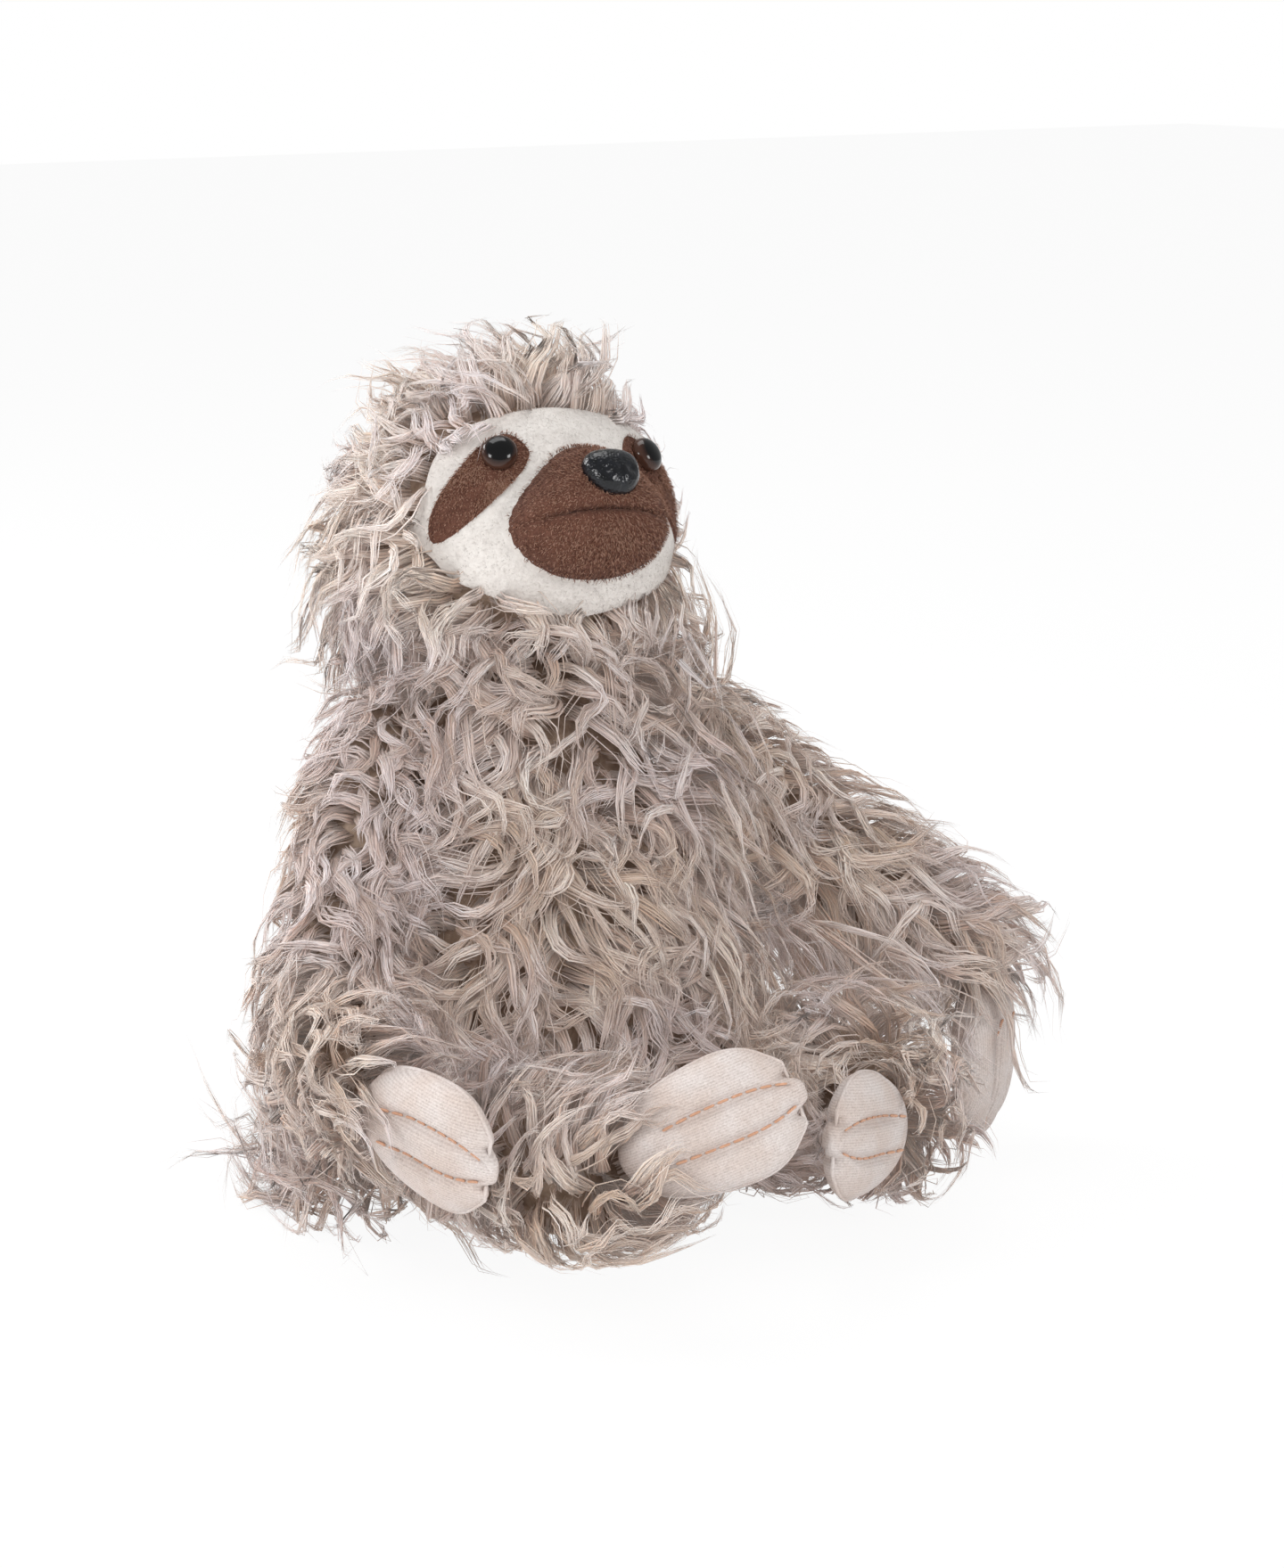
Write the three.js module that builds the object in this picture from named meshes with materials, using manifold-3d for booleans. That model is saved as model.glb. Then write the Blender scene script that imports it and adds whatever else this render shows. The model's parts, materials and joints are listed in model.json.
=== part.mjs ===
// A sitting plush sloth, in millimetres, +Z up. It faces -Y, and left and right are the toy's own.
// The origin is the middle of the flat seat under the torso.
//
// Each stuffed piece is a sewn cover over its own wad of fibre. The fur covers are drawn at the mean
// height of their pile. The head, arms, legs, hands and feet turn at their seams: a round root sits in
// a socket of the larger piece, and every smaller piece is cut back by what the larger one sweeps.
import * as THREE from "three";
import { mergeVertices } from "three/addons/utils/BufferGeometryUtils.js";
import Module from "manifold-3d";

const wasm = await Module();
wasm.setup();

const RIGHT = -1;
const LEFT = 1;

// Cloth and gaps
const seamGap = 0.3; // left between two pieces that touch
const fillGap = 0.6; // left between the inside of a cover and its fibre
const turnGap = 0.9; // left where a limb turns against the piece that carries it
const socketGap = 0.3; // left between a round root and the flats of its socket
const furDepth = 12; // fur cloth, from the inside of its backing to the mean height of its pile
const rootCloth = 2; // bare backing of a limb's root, inside its socket
const faceCloth = 2.4; // short plush of the face
const pawCloth = 1.8; // brushed knit of the hands and feet
const cutOverrun = 60; // how far a cutting solid runs past what it cuts
const weldDistance = 1e-5; // corners nearer than this are one

// Torso
const torsoHeight = 205;
const torsoHalfWidth = 72;
const torsoHalfDepth = 66;
const bellyForward = 12; // how far the belly's centre stands in front of the neck's
const torsoSink = 14; // rounded underside that the toy's own weight flattens
const sideSeamForward = 6; // the side seams lie this far in front of the neck's centre
const seatCloth = 4; // fur pressed flat under the seat
const torsoFullness = 6; // how little its ends taper: 2 is round, more is blunter
const pelletBagHalfWidth = 35;
const pelletBagHalfDepth = 28;
const pelletBagHeight = 26;
const pelletBagRoundness = 2.4;

// Head, in its own frame: +X its left, -Y the way it faces, +Z its crown
const headCentreHeight = 231;
const headTilt = 19; // degrees it looks up
const headYaw = 2.5; // degrees it looks to its right
const headLean = 5; // degrees its left side dips
const skullHalfWidth = 52;
const skullHalfDepth = 48;
const skullHalfHeight = 45;
const skullRoundness = 2.3;
const hoodSideLift = 5; // how far the hood's fur stands above the face's plush at the cheeks
const hoodTopLift = 9; // and at the crown
const hoodBack = 5; // the hood's middle lies this far behind the skull's
const faceHalfWidth = 50;
const faceTop = 34; // above the head's centre
const faceBottom = 36; // below the head's centre
const muzzleHalfWidth = 29.5;
const muzzleHalfDepth = 26;
const muzzleHalfHeight = 22;
const muzzleRoundness = 2.2;
const muzzleForward = 40;
const muzzleDrop = 4;
const mouthDrop = 2.2; // the mouth line below the muzzle's centre
const mouthSag = 3; // the mouth line's ends below its middle
const mouthGap = 0.6;

// Eyes, nose and their lock washers
const eyeRadius = 6;
const eyeDome = 5;
const eyeSpread = 27; // from the middle of the face
const eyeLift = 16; // above the head's centre
const eyeRim = 1.2; // straight edge behind the dome
const shankRadius = 2;
const shankLength = 13;
const shankTaper = 0.6; // bevel at the shank's end
const washerRadius = 6.5;
const washerDepth = 1.6;
const washerBoreGap = 0.4; // the washer's bore is this much wider than the shank
const eyeWasherDepth = 4.8; // under the plush, which its rim meets first
const noseWasherDepth = 5;
const noseHalfWidth = 10;
const noseHalfHeight = 7.8;
const noseDome = 6;
const noseLift = 9; // above the muzzle's centre
const noseRoundness = 2.5;
const noseShankRoot = 1; // how far the nose's shank runs into its cap
const noseTaperShare = 0.16; // how much wider the nose is at its top

// Eye patches
const patchLength = 40;
const patchWidth = 15;
const patchSlope = 52; // degrees below the level, outwards

// Arms, at the middle of each section
const shoulderSpread = 55;
const shoulderHeight = 160;
const shoulderRadius = 26;
const armRootHalfThickness = 29;
const armHalfThickness = 27;
const cuffHalfThickness = 22;
const rightElbowSpread = 82;
const rightElbowForward = 22;
const rightElbowHeight = 86;
const rightCuffSpread = 102;
const rightCuffForward = 70;
const rightCuffHeight = 69;
const rightWristSpread = 102;
const rightWristForward = 69;
const rightWristHeight = 68;
const leftElbowSpread = 114;
const leftElbowForward = 28;
const leftElbowHeight = 104;
const leftCuffSpread = 167;
const leftCuffForward = 58;
const leftCuffHeight = 66;
const leftWristSpread = 159;
const leftWristForward = 60;
const leftWristHeight = 66;
const wristRadius = 13;

// Legs, at the middle of each section
const hipSpread = 46;
const hipForward = 58;
const hipHeight = 36;
const hipRadius = 29;
const limbFullness = 5;
const legRootHalfThickness = 32;
const thighHalfThickness = 31;
const shinHalfThickness = 28;
const rightKneeSpread = 50;
const rightKneeForward = 98;
const rightKneeHeight = 42;
const rightShinSpread = 50;
const rightShinForward = 134;
const rightShinHeight = 47;
const rightAnkleSpread = 50;
const rightAnkleForward = 133;
const rightAnkleHeight = 54;
const leftKneeSpread = 72;
const leftKneeForward = 86;
const leftKneeHeight = 44;
const leftShinSpread = 72;
const leftShinForward = 119;
const leftShinHeight = 38;
const leftAnkleSpread = 68;
const leftAnkleForward = 121;
const leftAnkleHeight = 41;
const ankleRadius = 13;
const stuffingHoleRadius = 9; // the hole that a limb is filled through

// Hands and feet
const pawLength = 62; // from the wrist or ankle to the claws' ends
const pawHalfWidth = 20;
const pawHalfThickness = 9.5;
const pawFullness = 4;
const clawGrooveShare = 0.34; // of the thickness that the stitching between two claws draws in
const clawLineAngle = 72; // round the paw, from its edge to the stitching
const clawLineWidthShare = 0.1;
const clawFadeStartShare = 0.3; // of the length, where the stitching starts to draw in
const clawFadeEndShare = 0.55;

// How each hand and foot is held, in degrees: its heading, its pitch and its roll
const rightHandAngles = [-172, -9, -90];
const leftHandAngles = [-152, -90, 0];
const rightFootAngles = [-120, 22, -104];
const leftFootAngles = [122, 12, -90];

// How far each joint turns, in degrees. The neck is cleared for a full turn
const shoulderBack = 15;
const shoulderRaise = 90;
const wristTurnOut = 50;
const wristSwing = 30;
const hipDrop = 60;
const hipRaise = 25;
const ankleTurnOut = 45;
const sweepStep = 15; // between two copies of a sweep

// How finely each form is faceted: its sides, and its rings from pole to pole
const torsoFacets = [18, 9];
const skullFacets = [20, 11];
const muzzleFacets = [16, 7];
const noseFacets = [12, 6];
const limbFacets = [12, 6];
const pawFacets = [20, 5];
const ballFacets = [14, 8];
const bagFacets = [10, 6];
const roundSides = 12;
const smallRoundSides = 6;
const outlineSegments = 1;

const point = (x, y, z) => new THREE.Vector3(x, y, z);
const radians = THREE.MathUtils.degToRad;

// A closed three.js geometry as a manifold solid.
function solid(geometry) {
  const bare = geometry.clone();
  bare.deleteAttribute("normal");
  bare.deleteAttribute("uv");
  const merged = mergeVertices(bare, weldDistance);
  return new wasm.Manifold(
    new wasm.Mesh({
      numProp: 3,
      vertProperties: new Float32Array(merged.getAttribute("position").array),
      triVerts: new Uint32Array(merged.index.array),
    }),
  );
}

// A manifold solid as a three.js geometry.
function geometryOf(made) {
  const mesh = made.getMesh();
  const geometry = new THREE.BufferGeometry();
  geometry.setAttribute("position", new THREE.BufferAttribute(mesh.vertProperties, 3));
  geometry.setIndex(new THREE.BufferAttribute(mesh.triVerts, 1));
  geometry.computeVertexNormals();
  return geometry;
}

const joined = (solids) => solids.reduce((all, next) => all.add(next));

// A geometry turned by some degrees about an axis through a point.
function turned(geometry, centre, axis, degrees) {
  const turn = new THREE.Matrix4().makeRotationAxis(axis.clone().normalize(), radians(degrees));
  return geometry
    .clone()
    .translate(-centre.x, -centre.y, -centre.z)
    .applyMatrix4(turn)
    .translate(centre.x, centre.y, centre.z);
}

// A piece cut back by its neighbour at every stop of a joint's range.
function clearedOf(made, neighbour, { centre, axis, range: [low, high] }) {
  const stops = Math.ceil((high - low) / sweepStep);
  const angles = Array.from({ length: stops + 1 }, (_, i) => low + ((high - low) * i) / stops);
  return angles.reduce(
    (left, angle) => left.subtract(solid(turned(neighbour, centre, axis, -angle))),
    made,
  );
}

// A stuffed form that swells and tapers. Rings of points ride on a smooth curve through the stations
// and close at a pole at each end. `side` sets which way each ring's width lies, and `shape` may change
// a point of the ring, given its share along the form and its angle round it.
function stuffedForm({ stations, side, facets, fullness, shape = null }, grow = 0) {
  const centres = new THREE.CatmullRomCurve3(stations.map((station) => station.at));
  const halves = new THREE.CatmullRomCurve3(
    stations.map((station) => point(station.wide, station.deep, 0)),
  );
  const form = new THREE.SphereGeometry(1, ...facets);
  const place = form.getAttribute("position");
  for (let i = 0; i < place.count; i++) {
    const level = THREE.MathUtils.clamp(place.getY(i), -1, 1);
    const along = (1 - level) / 2;
    const round = Math.atan2(place.getZ(i), place.getX(i));
    const ringShare = Math.sqrt(Math.max(0, 1 - Math.abs(level) ** fullness));
    const tangent = centres.getTangent(along);
    const across = side.clone().addScaledVector(tangent, -side.dot(tangent)).normalize();
    const through = new THREE.Vector3().crossVectors(tangent, across);
    const half = halves.getPoint(along);
    const squeeze = shape ? shape(along, round) : 1;
    const onRing = centres
      .getPoint(along)
      .addScaledVector(tangent, -grow * level)
      .addScaledVector(across, (half.x + grow) * ringShare * Math.cos(round))
      .addScaledVector(through, (half.y + grow) * ringShare * Math.sin(round) * squeeze);
    place.setXYZ(i, onRing.x, onRing.y, onRing.z);
  }
  return form;
}

// A rounded block between an ellipsoid and a box, with its poles on Z.
function roundedForm(halves, grow, roundness, facets) {
  const form = new THREE.SphereGeometry(1, ...facets).rotateX(Math.PI / 2);
  const place = form.getAttribute("position");
  for (let i = 0; i < place.count; i++) {
    const away = [place.getX(i), place.getY(i), place.getZ(i)];
    const reach = away.reduce((sum, value) => sum + Math.abs(value) ** roundness, 0);
    const [x, y, z] = away.map((value) => value * reach ** (-1 / roundness));
    place.setXYZ(i, x * (halves.x + grow), y * (halves.y + grow), z * (halves.z + grow));
  }
  return form;
}

const ball = (centre, radius) =>
  new THREE.SphereGeometry(radius, ...ballFacets).translate(centre.x, centre.y, centre.z);

// The socket of a round root. Its flats, and not its corners, clear the root, so the root turns in it,
// and it stands half a facet round, so that the root's corners face its flats.
function socketFor(centre, radius) {
  const flatShare = Math.cos(Math.PI / ballFacets[0]) * Math.cos(Math.PI / (2 * ballFacets[1]));
  return solid(
    new THREE.SphereGeometry((radius + socketGap) / flatShare, ...ballFacets)
      .rotateY(Math.PI / ballFacets[0])
      .translate(centre.x, centre.y, centre.z),
  );
}

// A box between two corners.
function block(low, high) {
  const size = new THREE.Vector3().subVectors(high, low);
  return new THREE.BoxGeometry(size.x, size.y, size.z).translate(
    (low.x + high.x) / 2,
    (low.y + high.y) / 2,
    (low.z + high.z) / 2,
  );
}

// A rod from one point towards another, run on by an overrun.
function rod(from, towards, radius) {
  const run = new THREE.Vector3().subVectors(towards, from);
  const turn = new THREE.Quaternion().setFromUnitVectors(point(0, 1, 0), run.clone().normalize());
  const length = run.length();
  return new THREE.CylinderGeometry(radius, radius, length, smallRoundSides)
    .translate(0, length / 2, 0)
    .applyQuaternion(turn)
    .translate(from.x, from.y, from.z);
}

// The torso: a pear that stands on its flat seat and is round at the neck.
const torsoHeightShares = [0, 0.1, 0.25, 0.42, 0.6, 0.76, 0.89, 1];
const torsoWidthShares = [0.8, 0.95, 1.02, 1, 0.92, 0.84, 0.74, 0.56];
const torsoDepthShares = [0.8, 0.94, 1.02, 1.02, 0.92, 0.8, 0.7, 0.6];
const bellyForwardShares = [0.5, 0.8, 1, 1, 0.8, 0.45, 0.15, 0];

const torsoStations = torsoHeightShares.map((share, i) => ({
  at: point(0, -bellyForward * bellyForwardShares[i], -torsoSink + (torsoHeight + torsoSink) * share),
  wide: torsoHalfWidth * torsoWidthShares[i],
  deep: torsoHalfDepth * torsoDepthShares[i],
}));
const torsoForm = (grow) =>
  stuffedForm({ stations: torsoStations, side: point(1, 0, 0), facets: torsoFacets, fullness: torsoFullness }, grow);

// What the torso takes up as the head turns: each of its rings, spread to a circle about the neck.
function neckRoom(grow) {
  const place = torsoForm(grow).getAttribute("position");
  const rings = new Map();
  for (let i = 0; i < place.count; i++) {
    const ring = Math.floor(i / (torsoFacets[0] + 1));
    const reach = Math.hypot(place.getX(i), place.getY(i));
    const [widest, highest] = rings.get(ring) ?? [0, -cutOverrun];
    rings.set(ring, [Math.max(widest, reach), Math.max(highest, place.getZ(i))]);
  }
  const profile = [...rings.values()].map(([reach, height]) => new THREE.Vector2(reach, height));
  profile[0].x = 0;
  profile.at(-1).x = 0;
  return solid(new THREE.LatheGeometry(profile, torsoFacets[0]).rotateX(Math.PI / 2));
}

// What the torso takes up as an arm turns: its side below the shoulder, spread about the shoulder's axis.
function shoulderRoom(hand, grow) {
  const widest = torsoStations.reduce((most, next) => (next.wide > most.wide ? next : most));
  const side = torsoStations
    .filter(({ at }) => at.z >= widest.at.z && at.z < shoulderHeight)
    .map(({ at, wide }) => new THREE.Vector2(shoulderHeight - at.z, wide + grow));
  const far = torsoHeight + cutOverrun;
  const corners = [
    new THREE.Vector2(0, -cutOverrun),
    new THREE.Vector2(far, -cutOverrun),
    new THREE.Vector2(far, side[0].y),
    ...side,
    new THREE.Vector2(0, side.at(-1).y),
  ];
  return solid(
    new THREE.LatheGeometry(corners, torsoFacets[0])
      .rotateZ((-hand * Math.PI) / 2)
      .translate(0, 0, shoulderHeight),
  );
}

// How the head is held: leaning back to look up, turned a little to its right and dipped to its left.
const headPlace = new THREE.Matrix4()
  .makeTranslation(0, 0, headCentreHeight)
  .multiply(new THREE.Matrix4().makeRotationZ(radians(-headYaw)))
  .multiply(new THREE.Matrix4().makeRotationX(radians(-headTilt)))
  .multiply(new THREE.Matrix4().makeRotationY(radians(headLean)));

// A solid seen from a frame that is placed by a matrix.
const seenFrom = (place, made) => solid(geometryOf(made).applyMatrix4(place.clone().invert()));

const skullHalves = point(skullHalfWidth, skullHalfDepth, skullHalfHeight);
const muzzleHalves = point(muzzleHalfWidth, muzzleHalfDepth, muzzleHalfHeight);
const muzzleCentre = point(0, -muzzleForward, -muzzleDrop);

const hoodHalves = point(
  skullHalfWidth + hoodSideLift,
  skullHalfDepth + hoodTopLift,
  skullHalfHeight + hoodTopLift,
);

const skullForm = (grow) => roundedForm(skullHalves, grow, skullRoundness, skullFacets);
const hoodForm = () => roundedForm(hoodHalves, 0, skullRoundness, skullFacets).translate(0, hoodBack, 0);
const muzzleForm = (grow) =>
  roundedForm(muzzleHalves, grow, muzzleRoundness, muzzleFacets).translate(0, muzzleCentre.y, muzzleCentre.z);

// The place on the front of a rounded form at some x and z, and the way out of it.
function frontOf(halves, roundness, centre, x, z) {
  const sideShare = Math.abs(x / halves.x);
  const levelShare = Math.abs((z - centre.z) / halves.z);
  const frontShare = (1 - sideShare ** roundness - levelShare ** roundness) ** (1 / roundness);
  const out = point(
    (Math.sign(x) * sideShare ** (roundness - 1)) / halves.x,
    -(frontShare ** (roundness - 1)) / halves.y,
    (Math.sign(z - centre.z) * levelShare ** (roundness - 1)) / halves.z,
  ).normalize();
  return { at: point(x, centre.y - halves.y * frontShare, z), out };
}

// An outline in the face's plane, pushed through the face from the middle of the head.
function throughFace(outline) {
  const depth = skullHalfDepth + cutOverrun;
  const options = { depth, bevelEnabled: false, curveSegments: outlineSegments };
  return solid(new THREE.ExtrudeGeometry(outline, options).rotateX(Math.PI / 2));
}

function closedOutline(corners) {
  const outline = new THREE.Shape();
  outline.moveTo(corners[0].x, corners[0].y);
  outline.splineThru([...corners.slice(1), corners[0].clone()]);
  return outline;
}

// The face: a broad mask, narrower at the brow and the chin than at the cheeks.
const faceSideShares = [0, 0.36, 0.66, 0.86, 0.96, 1, 0.92, 0.82, 0.66, 0.42, 0];
const faceLevelShares = [1, 0.94, 0.81, 0.53, 0.1, -0.17, -0.39, -0.6, -0.75, -0.89, -1];
function faceOutline(grow) {
  const half = faceSideShares.map((side, i) => {
    const level = faceLevelShares[i];
    const reach = level > 0 ? faceTop + grow : faceBottom + grow;
    return new THREE.Vector2((faceHalfWidth + grow) * side, reach * level);
  });
  const mirrored = half
    .slice(1, -1)
    .reverse()
    .map((corner) => new THREE.Vector2(-corner.x, corner.y));
  return closedOutline([...half, ...mirrored]);
}

// An eye patch: a drop, round about the eye, that runs outwards and down.
const patchAlongShares = [-0.215, -0.17, 0, 0.22, 0.55, 0.8, 0.66, 0.38, 0.02];
const patchAcrossShares = [0.09, -0.44, -0.55, -0.46, -0.32, -0.12, 0.28, 0.48, 0.42];
function patchOutline(hand, grow) {
  const slope = radians(patchSlope);
  const corners = patchAlongShares.map((along, i) => {
    const run = patchLength * along + Math.sign(along) * grow;
    const across = patchWidth * patchAcrossShares[i] + Math.sign(patchAcrossShares[i]) * grow;
    return new THREE.Vector2(
      hand * (eyeSpread + run * Math.cos(slope) + across * Math.sin(slope)),
      eyeLift - run * Math.sin(slope) + across * Math.cos(slope),
    );
  });
  return closedOutline(corners);
}

// All that lies above (1) or below (-1) the mouth's curved line.
const mouthShares = [-1.3, -0.8, -0.4, 0, 0.4, 0.8, 1.3];
function besideMouth(side) {
  const line = mouthShares.map(
    (share) =>
      new THREE.Vector2(
        muzzleHalfWidth * share,
        muzzleCentre.z - mouthDrop - mouthSag * share ** 2 + (side * mouthGap) / 2,
      ),
  );
  const outline = new THREE.Shape();
  outline.moveTo(line[0].x, line[0].y);
  line.slice(1).forEach((corner) => outline.lineTo(corner.x, corner.y));
  outline.lineTo(line.at(-1).x, side * cutOverrun);
  outline.lineTo(line[0].x, side * cutOverrun);
  return throughFace(outline);
}

// A solid of revolution whose axis leaves a surface at a place, along the way out of it.
function turnedAt(profile, { at, out }, sides) {
  const turn = new THREE.Quaternion().setFromUnitVectors(point(0, 1, 0), out);
  const corners = profile.map(([radius, height]) => new THREE.Vector2(radius, height));
  return new THREE.LatheGeometry(corners, sides).applyQuaternion(turn).translate(at.x, at.y, at.z);
}

// The corner radius of a faceted hole that a round bar of some radius still passes.
const around = (radius, sides) => radius / Math.cos(Math.PI / sides);

// A round bar about that axis, from one height to another.
const barAt = (seat, radius, low, high, sides = smallRoundSides) =>
  solid(turnedAt([[0, low], [radius, low], [radius, high], [0, high]], seat, sides));

// An eye: a domed button with a plain shank that its washer locks on.
const domeShares = [1, 0.92, 0.71, 0.38];
function eyeSolid(seat) {
  const dome = domeShares.map((share) => [
    eyeRadius * share,
    seamGap + eyeRim + (eyeDome - eyeRim) * Math.sqrt(1 - share ** 2),
  ]);
  const profile = [
    [0, -shankLength],
    [shankRadius - shankTaper, -shankLength],
    [shankRadius, -shankLength + shankTaper],
    [shankRadius, seamGap],
    [eyeRadius, seamGap],
    ...dome,
    [0, seamGap + eyeDome],
  ];
  return solid(turnedAt(profile, seat, roundSides));
}

function washerSolid(seat, depth) {
  const disc = barAt(seat, washerRadius, -depth - washerDepth, -depth, roundSides);
  const bore = around(shankRadius + washerBoreGap, smallRoundSides);
  return disc.subtract(barAt(seat, bore, -shankLength, 0));
}

// The room that a shank and its washer take in the stuffing.
function washerPocket(seat, depth) {
  const wide = around(washerRadius + seamGap, roundSides);
  const narrow = around(shankRadius + seamGap, smallRoundSides);
  const disc = barAt(seat, wide, -depth - washerDepth - seamGap, cutOverrun, roundSides);
  return disc.add(barAt(seat, narrow, -shankLength - seamGap, 0));
}

// The nose: a broad moulded cap that follows the muzzle behind, on a shank of its own.
function noseSolid(seat) {
  const turn = new THREE.Quaternion().setFromUnitVectors(point(0, -1, 0), seat.out);
  const cap = roundedForm(point(noseHalfWidth, noseDome, noseHalfHeight), 0, noseRoundness, noseFacets);
  const place = cap.getAttribute("position");
  for (let i = 0; i < place.count; i++) {
    const levelShare = place.getZ(i) / noseHalfHeight;
    place.setX(i, place.getX(i) * (1 + noseTaperShare * levelShare));
  }
  cap.applyQuaternion(turn).translate(seat.at.x, seat.at.y, seat.at.z);
  return solid(cap).subtract(solid(muzzleForm(seamGap))).add(barAt(seat, shankRadius, -shankLength, noseShankRoot));
}

// The limbs' joints, each with its centre, its axis and how far it turns either way.
const joint = (centre, axis, low, high) => ({ centre, axis, range: [low, high] });
const shoulderCentre = (hand) => point(hand * shoulderSpread, 0, shoulderHeight);
const hipCentre = (hand) => point(hand * hipSpread, -hipForward, hipHeight);
const shoulder = (hand) => joint(shoulderCentre(hand), point(-1, 0, 0), -shoulderBack, shoulderRaise);
const hip = (hand) => joint(hipCentre(hand), point(-1, 0, 0), -hipDrop, hipRaise);

// A paw's frame: +Y runs from its root to its claws, +X across them, and +Z out of its back.
function pawPlace(root, angles) {
  const [heading, pitch, roll] = angles.map(radians);
  return new THREE.Matrix4()
    .makeTranslation(root.x, root.y, root.z)
    .multiply(new THREE.Matrix4().makeRotationZ(heading))
    .multiply(new THREE.Matrix4().makeRotationX(pitch))
    .multiply(new THREE.Matrix4().makeRotationY(roll));
}

const pawAlongShares = [0, 0.22, 0.48, 0.74, 1];
const pawWidthShares = [0.6, 0.84, 1, 1, 0.72];
const pawThicknessShares = [0.8, 1, 1, 0.86, 0.55];
const clawLineShare = Math.cos(radians(clawLineAngle));

const pawForm = (grow) =>
  stuffedForm(
    {
      stations: pawAlongShares.map((share, i) => ({
        at: point(0, pawLength * share, 0),
        wide: pawHalfWidth * pawWidthShares[i],
        deep: pawHalfThickness * pawThicknessShares[i],
      })),
      side: point(1, 0, 0),
      facets: pawFacets,
      fullness: pawFullness,
      shape: (along, round) => {
        const fromLine = (Math.abs(Math.cos(round)) - clawLineShare) / clawLineWidthShare;
        const fade = THREE.MathUtils.smoothstep(along, clawFadeStartShare, clawFadeEndShare);
        return 1 - clawGrooveShare * fade * Math.exp(-(fromLine ** 2));
      },
    },
    grow,
  );

// A limb's form through its three stations.
const limbForm = (stations, side) => (grow) =>
  stuffedForm({ stations, side, facets: limbFacets, fullness: limbFullness }, grow);

// A limb with its round root, cut back from what carries it. The insets run into its wall.
function limbSolid({ form, cleared, turns, rootRadius }, inset, rootInset) {
  const root = solid(ball(turns.centre, rootRadius - rootInset));
  return cleared(solid(form(-inset)), turnGap + rootInset).add(root);
}

// A fur limb: its cover, open at the root where it is filled, and its fibre. `socket` takes the paw.
function furLimb(limb, inwards, socket) {
  const holeEnd = limb.turns.centre.clone().addScaledVector(inwards, limb.rootRadius + turnGap);
  const hole = solid(rod(limb.turns.centre, holeEnd, stuffingHoleRadius));
  const hollow = limbSolid(limb, furDepth, rootCloth);
  return {
    cover: limbSolid(limb, 0, 0).subtract(hollow).subtract(hole).subtract(socket),
    fill: limbSolid(limb, furDepth + fillGap, rootCloth + fillGap).subtract(socket),
  };
}

// A hand or foot in its own frame: two knit panels sewn round the edge, and its fibre.
function pawPieces(place, carrier, turns, rootRadius) {
  const form = (grow) => pawForm(grow).applyMatrix4(place);
  const cleared = (made, grow) => clearedOf(made, carrier(grow), turns);
  const paw = { form, cleared, turns, rootRadius };
  const shell = seenFrom(place, limbSolid(paw, 0, 0).subtract(limbSolid(paw, pawCloth, pawCloth)));
  const reach = pawLength + cutOverrun;
  const back = solid(block(point(-reach, -reach, seamGap / 2), point(reach, reach, reach)));
  const front = solid(block(point(-reach, -reach, -reach), point(reach, reach, -seamGap / 2)));
  const inset = pawCloth + fillGap;
  return {
    back: shell.intersect(back),
    front: shell.intersect(front),
    fill: seenFrom(place, limbSolid(paw, inset, inset)),
  };
}

// Looks
const look = (color, roughness) => new THREE.MeshStandardMaterial({ color, roughness, metalness: 0 });
const looks = {
  fur: look("#b9a99b", 0.95),
  face: look("#efe9e2", 0.95),
  brown: look("#4a2a1d", 0.95),
  knit: look("#e9dccf", 0.9),
  fibre: look("#f6f5f2", 1),
  pellets: look("#d9d4c8", 0.9),
  gloss: look("#0d0b0c", 0.12),
  nose: look("#17181c", 0.35),
  washer: look("#e8e8e6", 0.5),
};

function piece(name, made, material, pivot = point(0, 0, 0)) {
  const mesh = new THREE.Mesh(geometryOf(made).translate(-pivot.x, -pivot.y, -pivot.z), material);
  mesh.name = name;
  return mesh;
}

const groupOf = (meshes) => {
  const group = new THREE.Group();
  group.add(...meshes);
  return group;
};

const sideName = (hand) => (hand === LEFT ? "left" : "right");

// Torso: two fur covers sewn up the sides, the fibre, and a bag of pellets low down for weight.
function torsoGroup() {
  const far = torsoHeight + cutOverrun;
  const above = (level) => solid(block(point(-far, -far, level), point(far, far, far)));
  const sockets = joined(
    [LEFT, RIGHT].flatMap((hand) => [
      socketFor(shoulderCentre(hand), shoulderRadius),
      socketFor(hipCentre(hand), hipRadius),
    ]),
  );
  const bagHalves = point(pelletBagHalfWidth, pelletBagHalfDepth, pelletBagHeight / 2);
  const bag = (grow) =>
    solid(
      roundedForm(bagHalves, grow, pelletBagRoundness, bagFacets).translate(
        0,
        -bellyForward / 2,
        seatCloth + seamGap + pelletBagHeight / 2,
      ),
    );
  const hollow = solid(torsoForm(-furDepth)).intersect(above(seatCloth));
  const cover = solid(torsoForm(0)).intersect(above(0)).subtract(hollow).subtract(sockets);
  const seam = -sideSeamForward;
  const back = solid(block(point(-far, seam + seamGap / 2, -far), point(far, far, far)));
  const front = solid(block(point(-far, -far, -far), point(far, seam - seamGap / 2, far)));
  const fill = solid(torsoForm(-furDepth - fillGap))
    .intersect(above(seatCloth + fillGap))
    .subtract(sockets)
    .subtract(bag(seamGap));
  return groupOf([
    piece("torso_front_cover", cover.intersect(front), looks.fur),
    piece("torso_back_cover", cover.intersect(back), looks.fur),
    piece("torso_fill", fill, looks.fibre),
    piece("pellet_bag", bag(0), looks.pellets),
  ]);
}

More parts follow.
